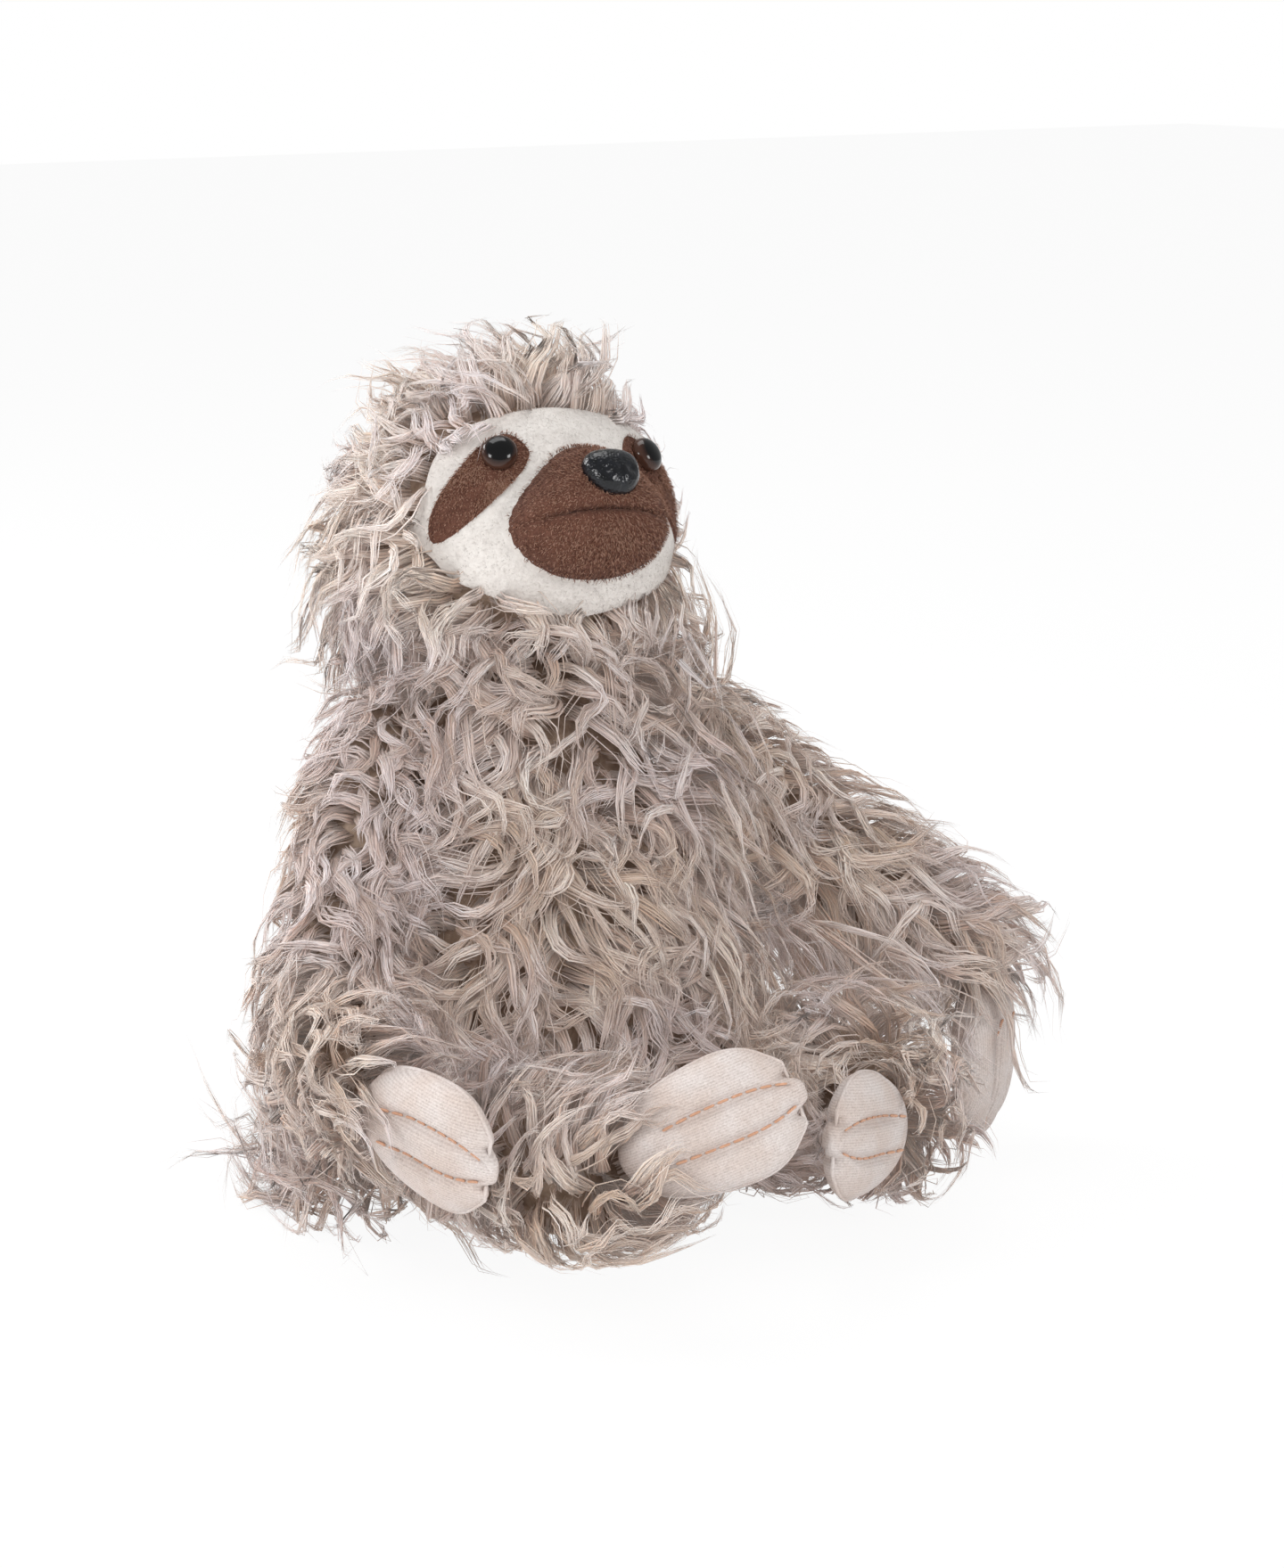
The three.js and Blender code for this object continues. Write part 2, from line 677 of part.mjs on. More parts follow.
// Head: the fur hood, the plush face with its inset patches and muzzle, the hard eyes and nose, and
// the fibre with the room for their washers.
function headGroup() {
  const room = seenFrom(headPlace, neckRoom(turnGap));
  const skull = solid(skullForm(0)).subtract(solid(skullForm(-faceCloth))).subtract(room);
  const hood = solid(hoodForm()).subtract(solid(skullForm(-faceCloth))).subtract(room);
  const inFace = throughFace(faceOutline(0));
  const eyeSeats = new Map(
    [LEFT, RIGHT].map((hand) => [
      hand,
      frontOf(skullHalves, skullRoundness, point(0, 0, 0), hand * eyeSpread, eyeLift),
    ]),
  );
  const noseSeat = frontOf(muzzleHalves, muzzleRoundness, muzzleCentre, 0, muzzleCentre.z + noseLift);
  const holeRadius = around(shankRadius + seamGap, smallRoundSides);
  const shankHole = (seat) => barAt(seat, holeRadius, -shankLength, cutOverrun);
  const shankHoles = joined([...eyeSeats.values(), noseSeat].map(shankHole));
  const patches = (grow) => [LEFT, RIGHT].map((hand) => throughFace(patchOutline(hand, grow)));
  const face = skull
    .intersect(inFace)
    .subtract(solid(muzzleForm(seamGap)))
    .subtract(joined(patches(seamGap)));
  const muzzle = solid(muzzleForm(0))
    .subtract(solid(muzzleForm(-faceCloth)))
    .subtract(solid(skullForm(-faceCloth)))
    .subtract(shankHoles);
  const inset = faceCloth + fillGap;
  const eyePockets = [...eyeSeats.values()].map((seat) => washerPocket(seat, eyeWasherDepth));
  const pockets = joined([...eyePockets, washerPocket(noseSeat, noseWasherDepth)]);
  const fill = solid(skullForm(-inset)).add(solid(muzzleForm(-inset))).subtract(room).subtract(pockets);
  const meshes = [
    piece("head_hood", hood.subtract(throughFace(faceOutline(seamGap))), looks.fur),
    piece("face_panel", face, looks.face),
    piece("muzzle_upper", muzzle.intersect(besideMouth(1)), looks.brown),
    piece("muzzle_lower", muzzle.intersect(besideMouth(-1)), looks.brown),
    piece("nose", noseSolid(noseSeat), looks.nose),
    piece("nose_washer", washerSolid(noseSeat, noseWasherDepth), looks.washer),
    piece("head_fill", fill, looks.fibre),
  ];
  [LEFT, RIGHT].forEach((hand, i) => {
    const seat = eyeSeats.get(hand);
    const patch = skull.intersect(inFace).intersect(patches(0)[i]).subtract(shankHoles);
    const side = sideName(hand);
    meshes.push(piece(`eye_patch_${side}`, patch.subtract(solid(muzzleForm(seamGap))), looks.brown));
    meshes.push(piece(`eye_${side}`, eyeSolid(seat), looks.gloss));
    meshes.push(piece(`eye_washer_${side}`, washerSolid(seat, eyeWasherDepth), looks.washer));
  });
  const head = groupOf(meshes);
  head.applyMatrix4(headPlace);
  return head;
}

// A limb with its paw: the fur cover and its fibre turn at the root, and the paw at the limb's end.
function limbGroup({ limb, inwards, limbName, hand, place, pawTurns, pawRadius, pawName, panels }) {
  const side = sideName(hand);
  const socket = socketFor(pawTurns.centre, pawRadius);
  const { cover, fill } = furLimb(limb, inwards, socket);
  const pivot = limb.turns.centre;
  const group = groupOf([
    piece(`${limbName}_cover_${side}`, cover, looks.fur, pivot),
    piece(`${limbName}_fill_${side}`, fill, looks.fibre, pivot),
  ]);
  group.position.copy(pivot);
  const made = pawPieces(place, limb.form, pawTurns, pawRadius);
  const paw = groupOf([
    piece(`${pawName}_${panels.back}_${side}`, made.back, looks.knit),
    piece(`${pawName}_${panels.front}_${side}`, made.front, looks.knit),
    piece(`${pawName}_fill_${side}`, made.fill, looks.fibre),
  ]);
  paw.applyMatrix4(place);
  return groupOf([group, paw]);
}

// A paw turns at its root about the line across it, outwards first.
const pawJoint = (root, place, hand, [low, high]) =>
  joint(root, point(hand, 0, 0).transformDirection(place), low, high);

// A limb's stations: its root, run back into its socket, its bend and its end.
function limbStations(root, bend, end, halves) {
  const run = new THREE.Vector3().subVectors(root, bend).setLength(halves[0]);
  const places = [root.clone().add(run), bend, end];
  return places.map((at, i) => ({ at, wide: halves[i], deep: halves[i] }));
}

function armGroup({ hand, elbow, cuff, wrist, place, turn }) {
  const halves = [armRootHalfThickness, armHalfThickness, cuffHalfThickness];
  const stations = limbStations(shoulderCentre(hand), elbow, cuff, halves);
  return limbGroup({
    limb: {
      form: limbForm(stations, point(0, 1, 0)),
      cleared: (made, grow) => made.subtract(shoulderRoom(hand, grow)),
      turns: shoulder(hand),
      rootRadius: shoulderRadius,
    },
    inwards: point(-hand, 0, 0),
    limbName: "arm",
    hand,
    place,
    pawTurns: pawJoint(wrist, place, hand, turn),
    pawRadius: wristRadius,
    pawName: "hand",
    panels: { back: "back", front: "palm" },
  });
}

function legGroup({ hand, knee, shin, ankle, place, turn }) {
  const halves = [legRootHalfThickness, thighHalfThickness, shinHalfThickness];
  const stations = limbStations(hipCentre(hand), knee, shin, halves);
  return limbGroup({
    limb: {
      form: limbForm(stations, point(1, 0, 0)),
      cleared: (made, grow) => clearedOf(made, torsoForm(grow), hip(hand)),
      turns: hip(hand),
      rootRadius: hipRadius,
    },
    inwards: point(0, 1, 0),
    limbName: "leg",
    hand,
    place,
    pawTurns: pawJoint(ankle, place, hand, turn),
    pawRadius: ankleRadius,
    pawName: "foot",
    panels: { back: "top", front: "sole" },
  });
}

const rightWrist = point(-rightWristSpread, -rightWristForward, rightWristHeight);
const leftWrist = point(leftWristSpread, -leftWristForward, leftWristHeight);
const rightAnkle = point(-rightAnkleSpread, -rightAnkleForward, rightAnkleHeight);
const leftAnkle = point(leftAnkleSpread, -leftAnkleForward, leftAnkleHeight);

const rightArm = {
  hand: RIGHT,
  elbow: point(-rightElbowSpread, -rightElbowForward, rightElbowHeight),
  cuff: point(-rightCuffSpread, -rightCuffForward, rightCuffHeight),
  wrist: rightWrist,
  place: pawPlace(rightWrist, rightHandAngles),
  turn: [0, wristTurnOut],
};
const leftArm = {
  hand: LEFT,
  elbow: point(leftElbowSpread, -leftElbowForward, leftElbowHeight),
  cuff: point(leftCuffSpread, -leftCuffForward, leftCuffHeight),
  wrist: leftWrist,
  place: pawPlace(leftWrist, leftHandAngles),
  turn: [-wristSwing, wristSwing],
};
const rightLeg = {
  hand: RIGHT,
  knee: point(-rightKneeSpread, -rightKneeForward, rightKneeHeight),
  shin: point(-rightShinSpread, -rightShinForward, rightShinHeight),
  ankle: rightAnkle,
  place: pawPlace(rightAnkle, rightFootAngles),
  turn: [0, ankleTurnOut],
};
const leftLeg = {
  hand: LEFT,
  knee: point(leftKneeSpread, -leftKneeForward, leftKneeHeight),
  shin: point(leftShinSpread, -leftShinForward, leftShinHeight),
  ankle: leftAnkle,
  place: pawPlace(leftAnkle, leftFootAngles),
  turn: [0, ankleTurnOut],
};

const sloth = groupOf([
  torsoGroup(),
  headGroup(),
  armGroup(rightArm),
  armGroup(leftArm),
  legGroup(rightLeg),
  legGroup(leftLeg),
]);

export default sloth;
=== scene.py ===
"""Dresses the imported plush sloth: shaggy curled fur, a plush mask, knit hands and feet, hard eyes and nose.

The fur is real geometry. Each lock is a clump of thin closed strands that grows on a body's form, falls
along it under its own weight and curls. All lengths here are in millimetres until a mesh is made.
"""

import json
import logging
import math
from collections.abc import Callable, Sequence
from dataclasses import dataclass, field
from enum import Enum

import bmesh
import bpy
import numpy as np
import numpy.typing as npt
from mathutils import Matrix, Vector

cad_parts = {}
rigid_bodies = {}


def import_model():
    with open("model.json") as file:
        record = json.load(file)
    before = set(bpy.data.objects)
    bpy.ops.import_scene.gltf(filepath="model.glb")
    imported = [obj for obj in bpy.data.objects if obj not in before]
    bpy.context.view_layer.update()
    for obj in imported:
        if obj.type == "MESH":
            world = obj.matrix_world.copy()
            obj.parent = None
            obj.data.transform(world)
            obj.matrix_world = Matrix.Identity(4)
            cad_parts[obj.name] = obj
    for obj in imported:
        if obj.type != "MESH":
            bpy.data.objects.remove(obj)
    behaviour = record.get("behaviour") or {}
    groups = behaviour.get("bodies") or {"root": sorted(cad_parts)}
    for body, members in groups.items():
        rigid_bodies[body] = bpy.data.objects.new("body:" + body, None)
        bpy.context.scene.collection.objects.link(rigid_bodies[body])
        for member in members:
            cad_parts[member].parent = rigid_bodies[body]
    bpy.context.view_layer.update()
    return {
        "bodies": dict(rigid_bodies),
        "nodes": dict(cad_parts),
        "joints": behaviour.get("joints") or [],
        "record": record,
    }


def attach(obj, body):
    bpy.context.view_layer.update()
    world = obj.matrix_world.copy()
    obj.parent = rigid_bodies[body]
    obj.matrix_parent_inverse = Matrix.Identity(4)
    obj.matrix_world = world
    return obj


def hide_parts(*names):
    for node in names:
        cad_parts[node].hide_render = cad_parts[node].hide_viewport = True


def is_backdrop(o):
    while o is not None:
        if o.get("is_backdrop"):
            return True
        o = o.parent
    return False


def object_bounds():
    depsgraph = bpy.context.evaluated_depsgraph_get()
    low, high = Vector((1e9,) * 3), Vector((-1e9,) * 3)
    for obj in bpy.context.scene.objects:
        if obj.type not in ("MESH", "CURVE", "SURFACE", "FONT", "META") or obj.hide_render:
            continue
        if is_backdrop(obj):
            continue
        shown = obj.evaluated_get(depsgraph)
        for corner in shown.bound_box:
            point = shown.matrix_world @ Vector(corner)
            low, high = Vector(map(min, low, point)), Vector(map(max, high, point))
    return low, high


Array = npt.NDArray[np.float64]
Field = Callable[[Array], Array]
Pair = tuple[float, float]
Triple = tuple[float, float, float]
Socket = bpy.types.NodeSocket

MM = 0.001
SEED = 20457

log = logging.getLogger("plush_sloth")


class Side(Enum):
    """The toy's own right and left, with the sign of its X."""

    RIGHT = -1
    LEFT = 1

    @property
    def label(self) -> str:
        """The side's name, as it ends a CAD node's name."""
        return self.name.lower()


# Frames


def turn_about(axis: int, degrees: float) -> Array:
    """A turn about one of the three axes.

    Args:
        axis: 0 for X, 1 for Y or 2 for Z.
        degrees: how far, by the right-hand rule.

    Returns:
        A 3 by 3 matrix.
    """
    c, s = math.cos(math.radians(degrees)), math.sin(math.radians(degrees))
    matrix = np.eye(3)
    a, b = (axis + 1) % 3, (axis + 2) % 3
    matrix[a, a], matrix[a, b], matrix[b, a], matrix[b, b] = c, -s, s, c
    return matrix


@dataclass(frozen=True)
class Place:
    """Where a piece's own frame stands: an origin in millimetres and a turn."""

    origin: Triple = (0.0, 0.0, 0.0)
    turn: Array = field(default_factory=lambda: np.eye(3))

    def out(self, points: Array) -> Array:
        """Points of the piece's own frame, in the toy's frame."""
        return points @ self.turn.T + np.array(self.origin)

    def into(self, points: Array) -> Array:
        """Points of the toy's frame, in the piece's own frame."""
        return (points - np.array(self.origin)) @ self.turn


HEAD_PLACE = Place((0.0, 0.0, 231.0), turn_about(2, -2.5) @ turn_about(0, -19.0) @ turn_about(1, 5.0))


def paw_place(root: Triple, heading: float, pitch: float, roll: float) -> Place:
    """A hand's or foot's frame: +Y runs from its root to its claws, +X across them, +Z out of its back."""
    return Place(root, turn_about(2, heading) @ turn_about(0, pitch) @ turn_about(1, roll))


# Curves and noise


def spline(points: Array, shares: Array) -> Array:
    """A Catmull-Rom curve through evenly spread points.

    Args:
        points: n by d, the stations.
        shares: the places asked for, from 0 to 1.

    Returns:
        The curve's points, one row for each share. Each segment is the cubic whose slopes at its ends are
        half the step between the neighbouring stations.
    """
    padded = np.vstack([2 * points[0] - points[1], points, 2 * points[-1] - points[-2]])
    last = len(points) - 1
    run = np.clip(shares, 0, 1) * last
    start = np.minimum(run.astype(int), last - 1)
    t = (run - start)[..., None]
    a, b, c, d = (padded[start + i] for i in range(4))
    return 0.5 * (2 * b + (c - a) * t + (2 * a - 5 * b + 4 * c - d) * t**2 + (3 * b - a - 3 * c + d) * t**3)


def unit(vectors: Array) -> Array:
    """Vectors scaled to length 1 along their last axis."""
    return vectors / np.maximum(np.linalg.norm(vectors, axis=-1, keepdims=True), 1e-9)


def smooth(edge_low: float, edge_high: float, values: Array) -> Array:
    """A smooth step from 0 at one edge to 1 at the other."""
    t = np.clip((values - edge_low) / (edge_high - edge_low), 0, 1)
    return t * t * (3 - 2 * t)


def bell(away: Array) -> Array:
    """1 at 0, falling to 0 on both sides: e to the power of minus the square."""
    return np.exp(-(away**2))


@dataclass(frozen=True)
class Waves:
    """Soft repeatable noise: a sum of sine waves that run in seeded directions."""

    seed: int
    length: float
    count: int = 7

    def at(self, points: Array) -> Array:
        """The noise at some points, from about -1 to 1.

        Args:
            points: n by 3 places.

        Returns:
            n values.
        """
        rng = np.random.default_rng(self.seed)
        ways = unit(rng.normal(size=(self.count, 3)))
        pitch = rng.uniform(0.6, 1.7, self.count) * 2 * math.pi / self.length
        phase = rng.uniform(0, 2 * math.pi, self.count)
        return np.sin(points @ (ways * pitch[:, None]).T + phase).sum(axis=-1) / math.sqrt(self.count)


# Forms


class Form:
    """A closed rounded form, with a surface in two parameters and a rough distance to it."""

    def at(self, along: Array, round_: Array, grow: float = 0.0) -> Array:
        """The surface's places at shares along the form and angles round it, moved out by `grow`."""
        raise NotImplementedError

    def distance(self, points: Array) -> Array:
        """How far points stand above the surface, negative inside."""
        raise NotImplementedError

    def normal(self, points: Array) -> Array:
        """The way out of the form at some points: the slope of the distance, by small steps.

        Args:
            points: n by 3 places.

        Returns:
            n by 3 ways.
        """
        step = 0.5
        here = self.distance(points)
        slopes = [self.distance(points + step * np.eye(3)[i]) - here for i in range(3)]
        return unit(np.stack(slopes, axis=-1))

    def roots(self, spacing: float, rng: np.random.Generator) -> Array:
        """Places spread evenly over the surface.

        Args:
            spacing: the distance between neighbours.
            rng: where the jitter comes from.

        Returns:
            n by 3 places. Rings lie a spacing apart by arc length, each holds as many places as its girth has
            spacings, and each place is moved by up to half a spacing either way.
        """
        fine = np.linspace(0.004, 0.996, 400)
        turns = np.linspace(0, 2 * math.pi, 48, endpoint=False)
        grid = self.at(fine[:, None], turns[None, :])
        run = np.concatenate([[0], np.cumsum(np.linalg.norm(np.diff(grid, axis=0), axis=-1).mean(axis=1))])
        girth = np.linalg.norm(np.roll(grid, -1, axis=1) - grid, axis=-1).sum(axis=1)
        rings = max(int(run[-1] / spacing), 2)
        middle = (np.arange(rings) + 0.5) / rings * run[-1]
        counts = np.maximum(np.round(np.interp(middle, run, girth) / spacing).astype(int), 1)
        ring = np.repeat(np.arange(rings), counts)
        index = np.arange(len(ring)) - np.repeat(np.cumsum(counts) - counts, counts)
        jitter = rng.uniform(-0.5, 0.5, (2, len(ring)))
        reach = np.interp((ring + 0.5 + jitter[0]) / rings * run[-1], run, fine)
        angle = (index + jitter[1] + 0.5 * (ring % 2)) / counts[ring] * 2 * math.pi
        return self.at(reach, angle)

    def skin(self, grow: float, rows: int, columns: int) -> tuple[Array, Array]:
        """The form as a closed mesh of quads with a pole at each end.

        Args:
            grow: how far the surface is moved out.
            rows: how many steps it has from pole to pole. They are closest at the poles.
            columns: how many it has round.

        Returns:
            Points and faces.
        """
        along = (1 - np.cos(np.linspace(0, math.pi, rows + 1)[1:-1])) / 2
        round_ = np.linspace(0, 2 * math.pi, columns, endpoint=False)
        body = self.at(along[:, None], round_[None, :], grow).reshape(-1, 3)
        ends = self.at(np.array([0.0, 1.0]), np.zeros(2), grow)
        return np.vstack([body, ends]), capped_grid(rows - 1, columns)


def capped_grid(rows: int, columns: int) -> Array:
    """Faces of a grid that closes round its columns and is capped by two poles, stored after the grid.

    A cap triangle is a quad with its last corner repeated.

    Args:
        rows: rings of the grid.
        columns: places in a ring.

    Returns:
        m by 4 place numbers.
    """
    index = np.arange(rows * columns).reshape(rows, columns)
    nxt = np.roll(index, -1, axis=1)
    sides = np.stack([index[:-1], nxt[:-1], nxt[1:], index[1:]], axis=-1).reshape(-1, 4)
    low, high = rows * columns, rows * columns + 1
    first = np.stack([np.full(columns, low), nxt[0], index[0], index[0]], axis=-1)
    last = np.stack([np.full(columns, high), index[-1], nxt[-1], nxt[-1]], axis=-1)
    return np.vstack([sides, first, last])


@dataclass(frozen=True)
class Stuffed(Form):
    """A sewn tube that swells and tapers through its stations, as in the CAD model.

    Each station is x, y, z, half width and half depth. Rings ride on the spline through the stations; a
    ring's share of its half sizes is (1 - |level|^fullness)^(1/2), where level runs from 1 to -1.
    """

    stations: Array
    side: Triple
    fullness: float
    samples: int = 40
    groove: Callable[[Array, Array], Array] | None = None

    def frame(self, along: Array) -> tuple[Array, Array, Array, Array]:
        """The form's own frame at shares along it.

        Args:
            along: shares along the form.

        Returns:
            The stations there (centre and half sizes), the tangent, and the ways of the two half sizes.
        """
        here = spline(self.stations, along)
        step = 0.01
        after, before = (spline(self.stations, along + ahead)[..., :3] for ahead in (step, -step))
        tangent = unit(after - before)
        side = np.array(self.side)
        across = unit(side - (tangent @ side)[..., None] * tangent)
        return here, tangent, across, np.cross(tangent, across)

    def at(self, along: Array, round_: Array, grow: float = 0.0) -> Array:
        """See Form. The groove, where there is one, squeezes the ring's depth.

        Args:
            along: shares along the form, from 0 to 1.
            round_: angles round it.
            grow: how far the surface is moved out.

        Returns:
            The places.
        """
        along, round_ = np.broadcast_arrays(np.asarray(along, float), np.asarray(round_, float))
        level = 1 - 2 * along
        share = np.sqrt(np.maximum(0, 1 - np.abs(level) ** self.fullness))[..., None]
        here, tangent, across, through = self.frame(along)
        squeeze = self.groove(along, round_)[..., None] if self.groove else 1.0
        wide = (here[..., 3:4] + grow) * share * np.cos(round_)[..., None]
        deep = (here[..., 4:5] + grow) * share * np.sin(round_)[..., None] * squeeze
        return here[..., :3] - grow * level[..., None] * tangent + wide * across + deep * through

    def distance(self, points: Array) -> Array:
        """See Form. The form is taken as a row of balls whose radii are the rings' mean half sizes.

        Args:
            points: n by 3 places.

        Returns:
            n distances.
        """
        level = np.linspace(-0.86, 0.86, self.samples)
        here, _, _, _ = self.frame((1 - level) / 2)
        radius = here[:, 3:].mean(axis=1) * np.sqrt(1 - np.abs(level) ** self.fullness)
        gaps = np.linalg.norm(points[..., None, :] - here[:, :3], axis=-1) - radius
        return gaps.min(axis=-1)


@dataclass(frozen=True)
class Rounded(Form):
    """A block between an ellipsoid and a box, with its poles on Y: |x/a|^n + |y/b|^n + |z/c|^n = 1."""

    halves: Triple
    roundness: float
    centre: Triple = (0.0, 0.0, 0.0)
    place: Place = Place()

    def scaled(self, ways: Array, grow: float) -> Array:
        """Points in the own frame, along ways, where the powers of the half sizes' shares add up to 1."""
        reach = (np.abs(ways) ** self.roundness).sum(axis=-1, keepdims=True) ** (-1 / self.roundness)
        return ways * reach * (np.array(self.halves) + grow) + np.array(self.centre)

    def at(self, along: Array, round_: Array, grow: float = 0.0) -> Array:
        """See Form. The front pole comes first.

        Args:
            along: shares along the form, from 0 to 1.
            round_: angles round it.
            grow: how far the surface is moved out.

        Returns:
            The places.
        """
        tilt = np.asarray(along) * math.pi
        ring = np.sin(tilt)
        parts = np.broadcast_arrays(ring * np.sin(round_), -np.cos(tilt), ring * np.cos(round_))
        return self.place.out(self.scaled(np.stack(parts, axis=-1), grow))

    def distance(self, points: Array) -> Array:
        """See Form. The reach from the centre, less the surface's reach in the same direction.

        Args:
            points: n by 3 places.

        Returns:
            n distances.
        """
        own = self.place.into(points) - np.array(self.centre)
        level = (np.abs(own / np.array(self.halves)) ** self.roundness).sum(axis=-1) ** (1 / self.roundness)
        return np.linalg.norm(own, axis=-1) * (1 - 1 / np.maximum(level, 1e-6))


# Meshes


def new_object(
    name: str, points: Array, faces: Array, uv: Array | None = None, fibre: Array | None = None
) -> bpy.types.Object:
    """Puts a mesh into the scene.

    Args:
        name: the piece's name.
        points: n by 3, in millimetres.
        faces: m by 4 corner numbers; a triangle repeats its last corner.
        uv: n by 2, a UV place for each point, or None.
        fibre: n by 2, a place in a second UV map, in millimetres across and along a strand, or None.

    Returns:
        The new object, at the origin, smooth shaded.
    """
    triangle = faces[:, 2] == faces[:, 3]
    sizes = np.where(triangle, 3, 4)
    keep = np.ones(faces.shape, bool)
    keep[triangle, 3] = False
    corners = faces[keep].astype(np.int32)
    mesh = bpy.data.meshes.new(name)
    mesh.vertices.add(len(points))
    mesh.vertices.foreach_set("co", (points * MM).astype(np.float32).ravel())
    mesh.loops.add(len(corners))
    mesh.loops.foreach_set("vertex_index", corners)
    mesh.polygons.add(len(faces))
    mesh.polygons.foreach_set("loop_start", (np.cumsum(sizes) - sizes).astype(np.int32))
    mesh.polygons.foreach_set("use_smooth", np.ones(len(faces), bool))
    for title, values in (("UVMap", uv), ("Fibre", fibre)):
        if values is not None:
            layer = mesh.uv_layers.new(name=title)
            layer.data.foreach_set("uv", values[corners].astype(np.float32).ravel())
    mesh.update(calc_edges=True)
    mesh.validate()
    obj = bpy.data.objects.new(name, mesh)
    bpy.context.scene.collection.objects.link(obj)
    return obj


def shell(front: Array, back: Array) -> tuple[Array, Array]:
    """A closed sheet between two polar grids of the same size.

    Args:
        front: rings by columns by 3, the outer face, whose first ring is one point at its middle.
        back: the same for the inner face.

    Returns:
        Points and faces: front, then back, joined round the last ring, each closed by its middle point.
    """
    rings, columns = front.shape[:2]
    stacked = np.concatenate([front[1:], back[:0:-1]]).reshape(-1, 3)
    ends = np.stack([front[0, 0], back[0, 0]])
    return np.vstack([stacked, ends]), capped_grid(2 * (rings - 1), columns)


# Strands


@dataclass(frozen=True)
class Strands:
    """Thin closed fibres, each a three-sided ribbon that narrows to a point.

    `paths` is n strands by k places by 3, and `normals`, of the same shape, is the way that each ribbon's
    ridge faces. `width` is each strand's widest and `tint`, from 0 to 1, which shade of the pile it takes.
    """

    paths: Array
    normals: Array
    width: Array
    tint: Array
    ridge: float = 0.45
    tip_loss: float = 0.8
    relief_rib: float = 0.62
    stagger: float = 7.31
    stagger_end: float = 90.0

    def mesh(self) -> tuple[Array, Array, Array, Array]:
        """Works out every strand's mesh at once.

        Returns:
            Points, faces and two sets of UV places. At each place but the last a ring of three points stands
            across the path: two at plus and minus half the width, and a ridge between them that is lifted by
            a share of that half. The last place is one point. The half width rises a little from the root
            and falls away past a third of the strand. The first UV holds the strand's tint and the share
            along it, and the second the millimetres across it, from a start of its own, and along it.
        """
        count, places = self.paths.shape[:2]
        share = np.linspace(0, 1, places)
        tangent = unit(np.gradient(self.paths, axis=1))
        across = unit(np.cross(tangent, self.normals))
        up = np.cross(across, tangent)
        profile = 0.75 + 0.25 * np.sin(np.minimum(share * 2.2, 1) * math.pi / 2)
        profile = profile * (1 - self.tip_loss * smooth(0.35, 1, share))
        half = 0.5 * self.width[:, None, None] * profile[None, :, None]
        ring = [self.paths - across * half, self.paths + up * half * self.ridge, self.paths + across * half]
        body = np.stack(ring, axis=2)[:, :-1].reshape(count, -1, 3)
        tips = self.paths[:, -1:]
        points = np.concatenate([body, tips], axis=1).reshape(-1, 3)
        size = 3 * (places - 1) + 1
        ring = 3 * np.arange(places - 2)[:, None]
        corner = np.arange(3)[None, :]
        after = (corner + 1) % 3
        sides = [ring + corner, ring + after, ring + 3 + after, ring + 3 + corner]
        sides = np.stack(sides, axis=-1).reshape(-1, 4)
        last, end = 3 * (places - 2), np.full(3, size - 1)
        tip = np.stack([last + corner[0], last + after[0], end, end], axis=-1)
        root = np.array([[2, 1, 0, 0]])
        one = np.vstack([sides, tip, root])
        faces = (one[None] + (np.arange(count) * size)[:, None, None]).reshape(-1, 4)
        along = np.append(np.repeat(share[:-1], 3), 1.0)
        uv = np.stack(np.broadcast_arrays(self.tint[:, None], along[None, :]), axis=-1).reshape(-1, 2)
        side = np.append(np.tile([-1.0, 0.0, 1.0], places - 1), 0.0)
        rib = self.relief_rib * self.width[:, None] * side[None, :]
        start = (np.arange(count) * self.stagger % self.stagger_end)[:, None]
        run = np.linalg.norm(np.diff(self.paths, axis=1), axis=-1).sum(axis=1)[:, None] * along[None, :]
        fibre = np.stack([rib + start, run + start], axis=-1).reshape(-1, 2)
        return points, faces, uv, fibre


# Finishes


def linear(code: str) -> tuple[float, float, float, float]:
    """A hex colour, as the linear values that shaders take."""
    parts = [int(code[i : i + 2], 16) / 255 for i in (1, 3, 5)]
    return (*[p / 12.92 if p <= 0.04045 else ((p + 0.055) / 1.055) ** 2.4 for p in parts], 1.0)


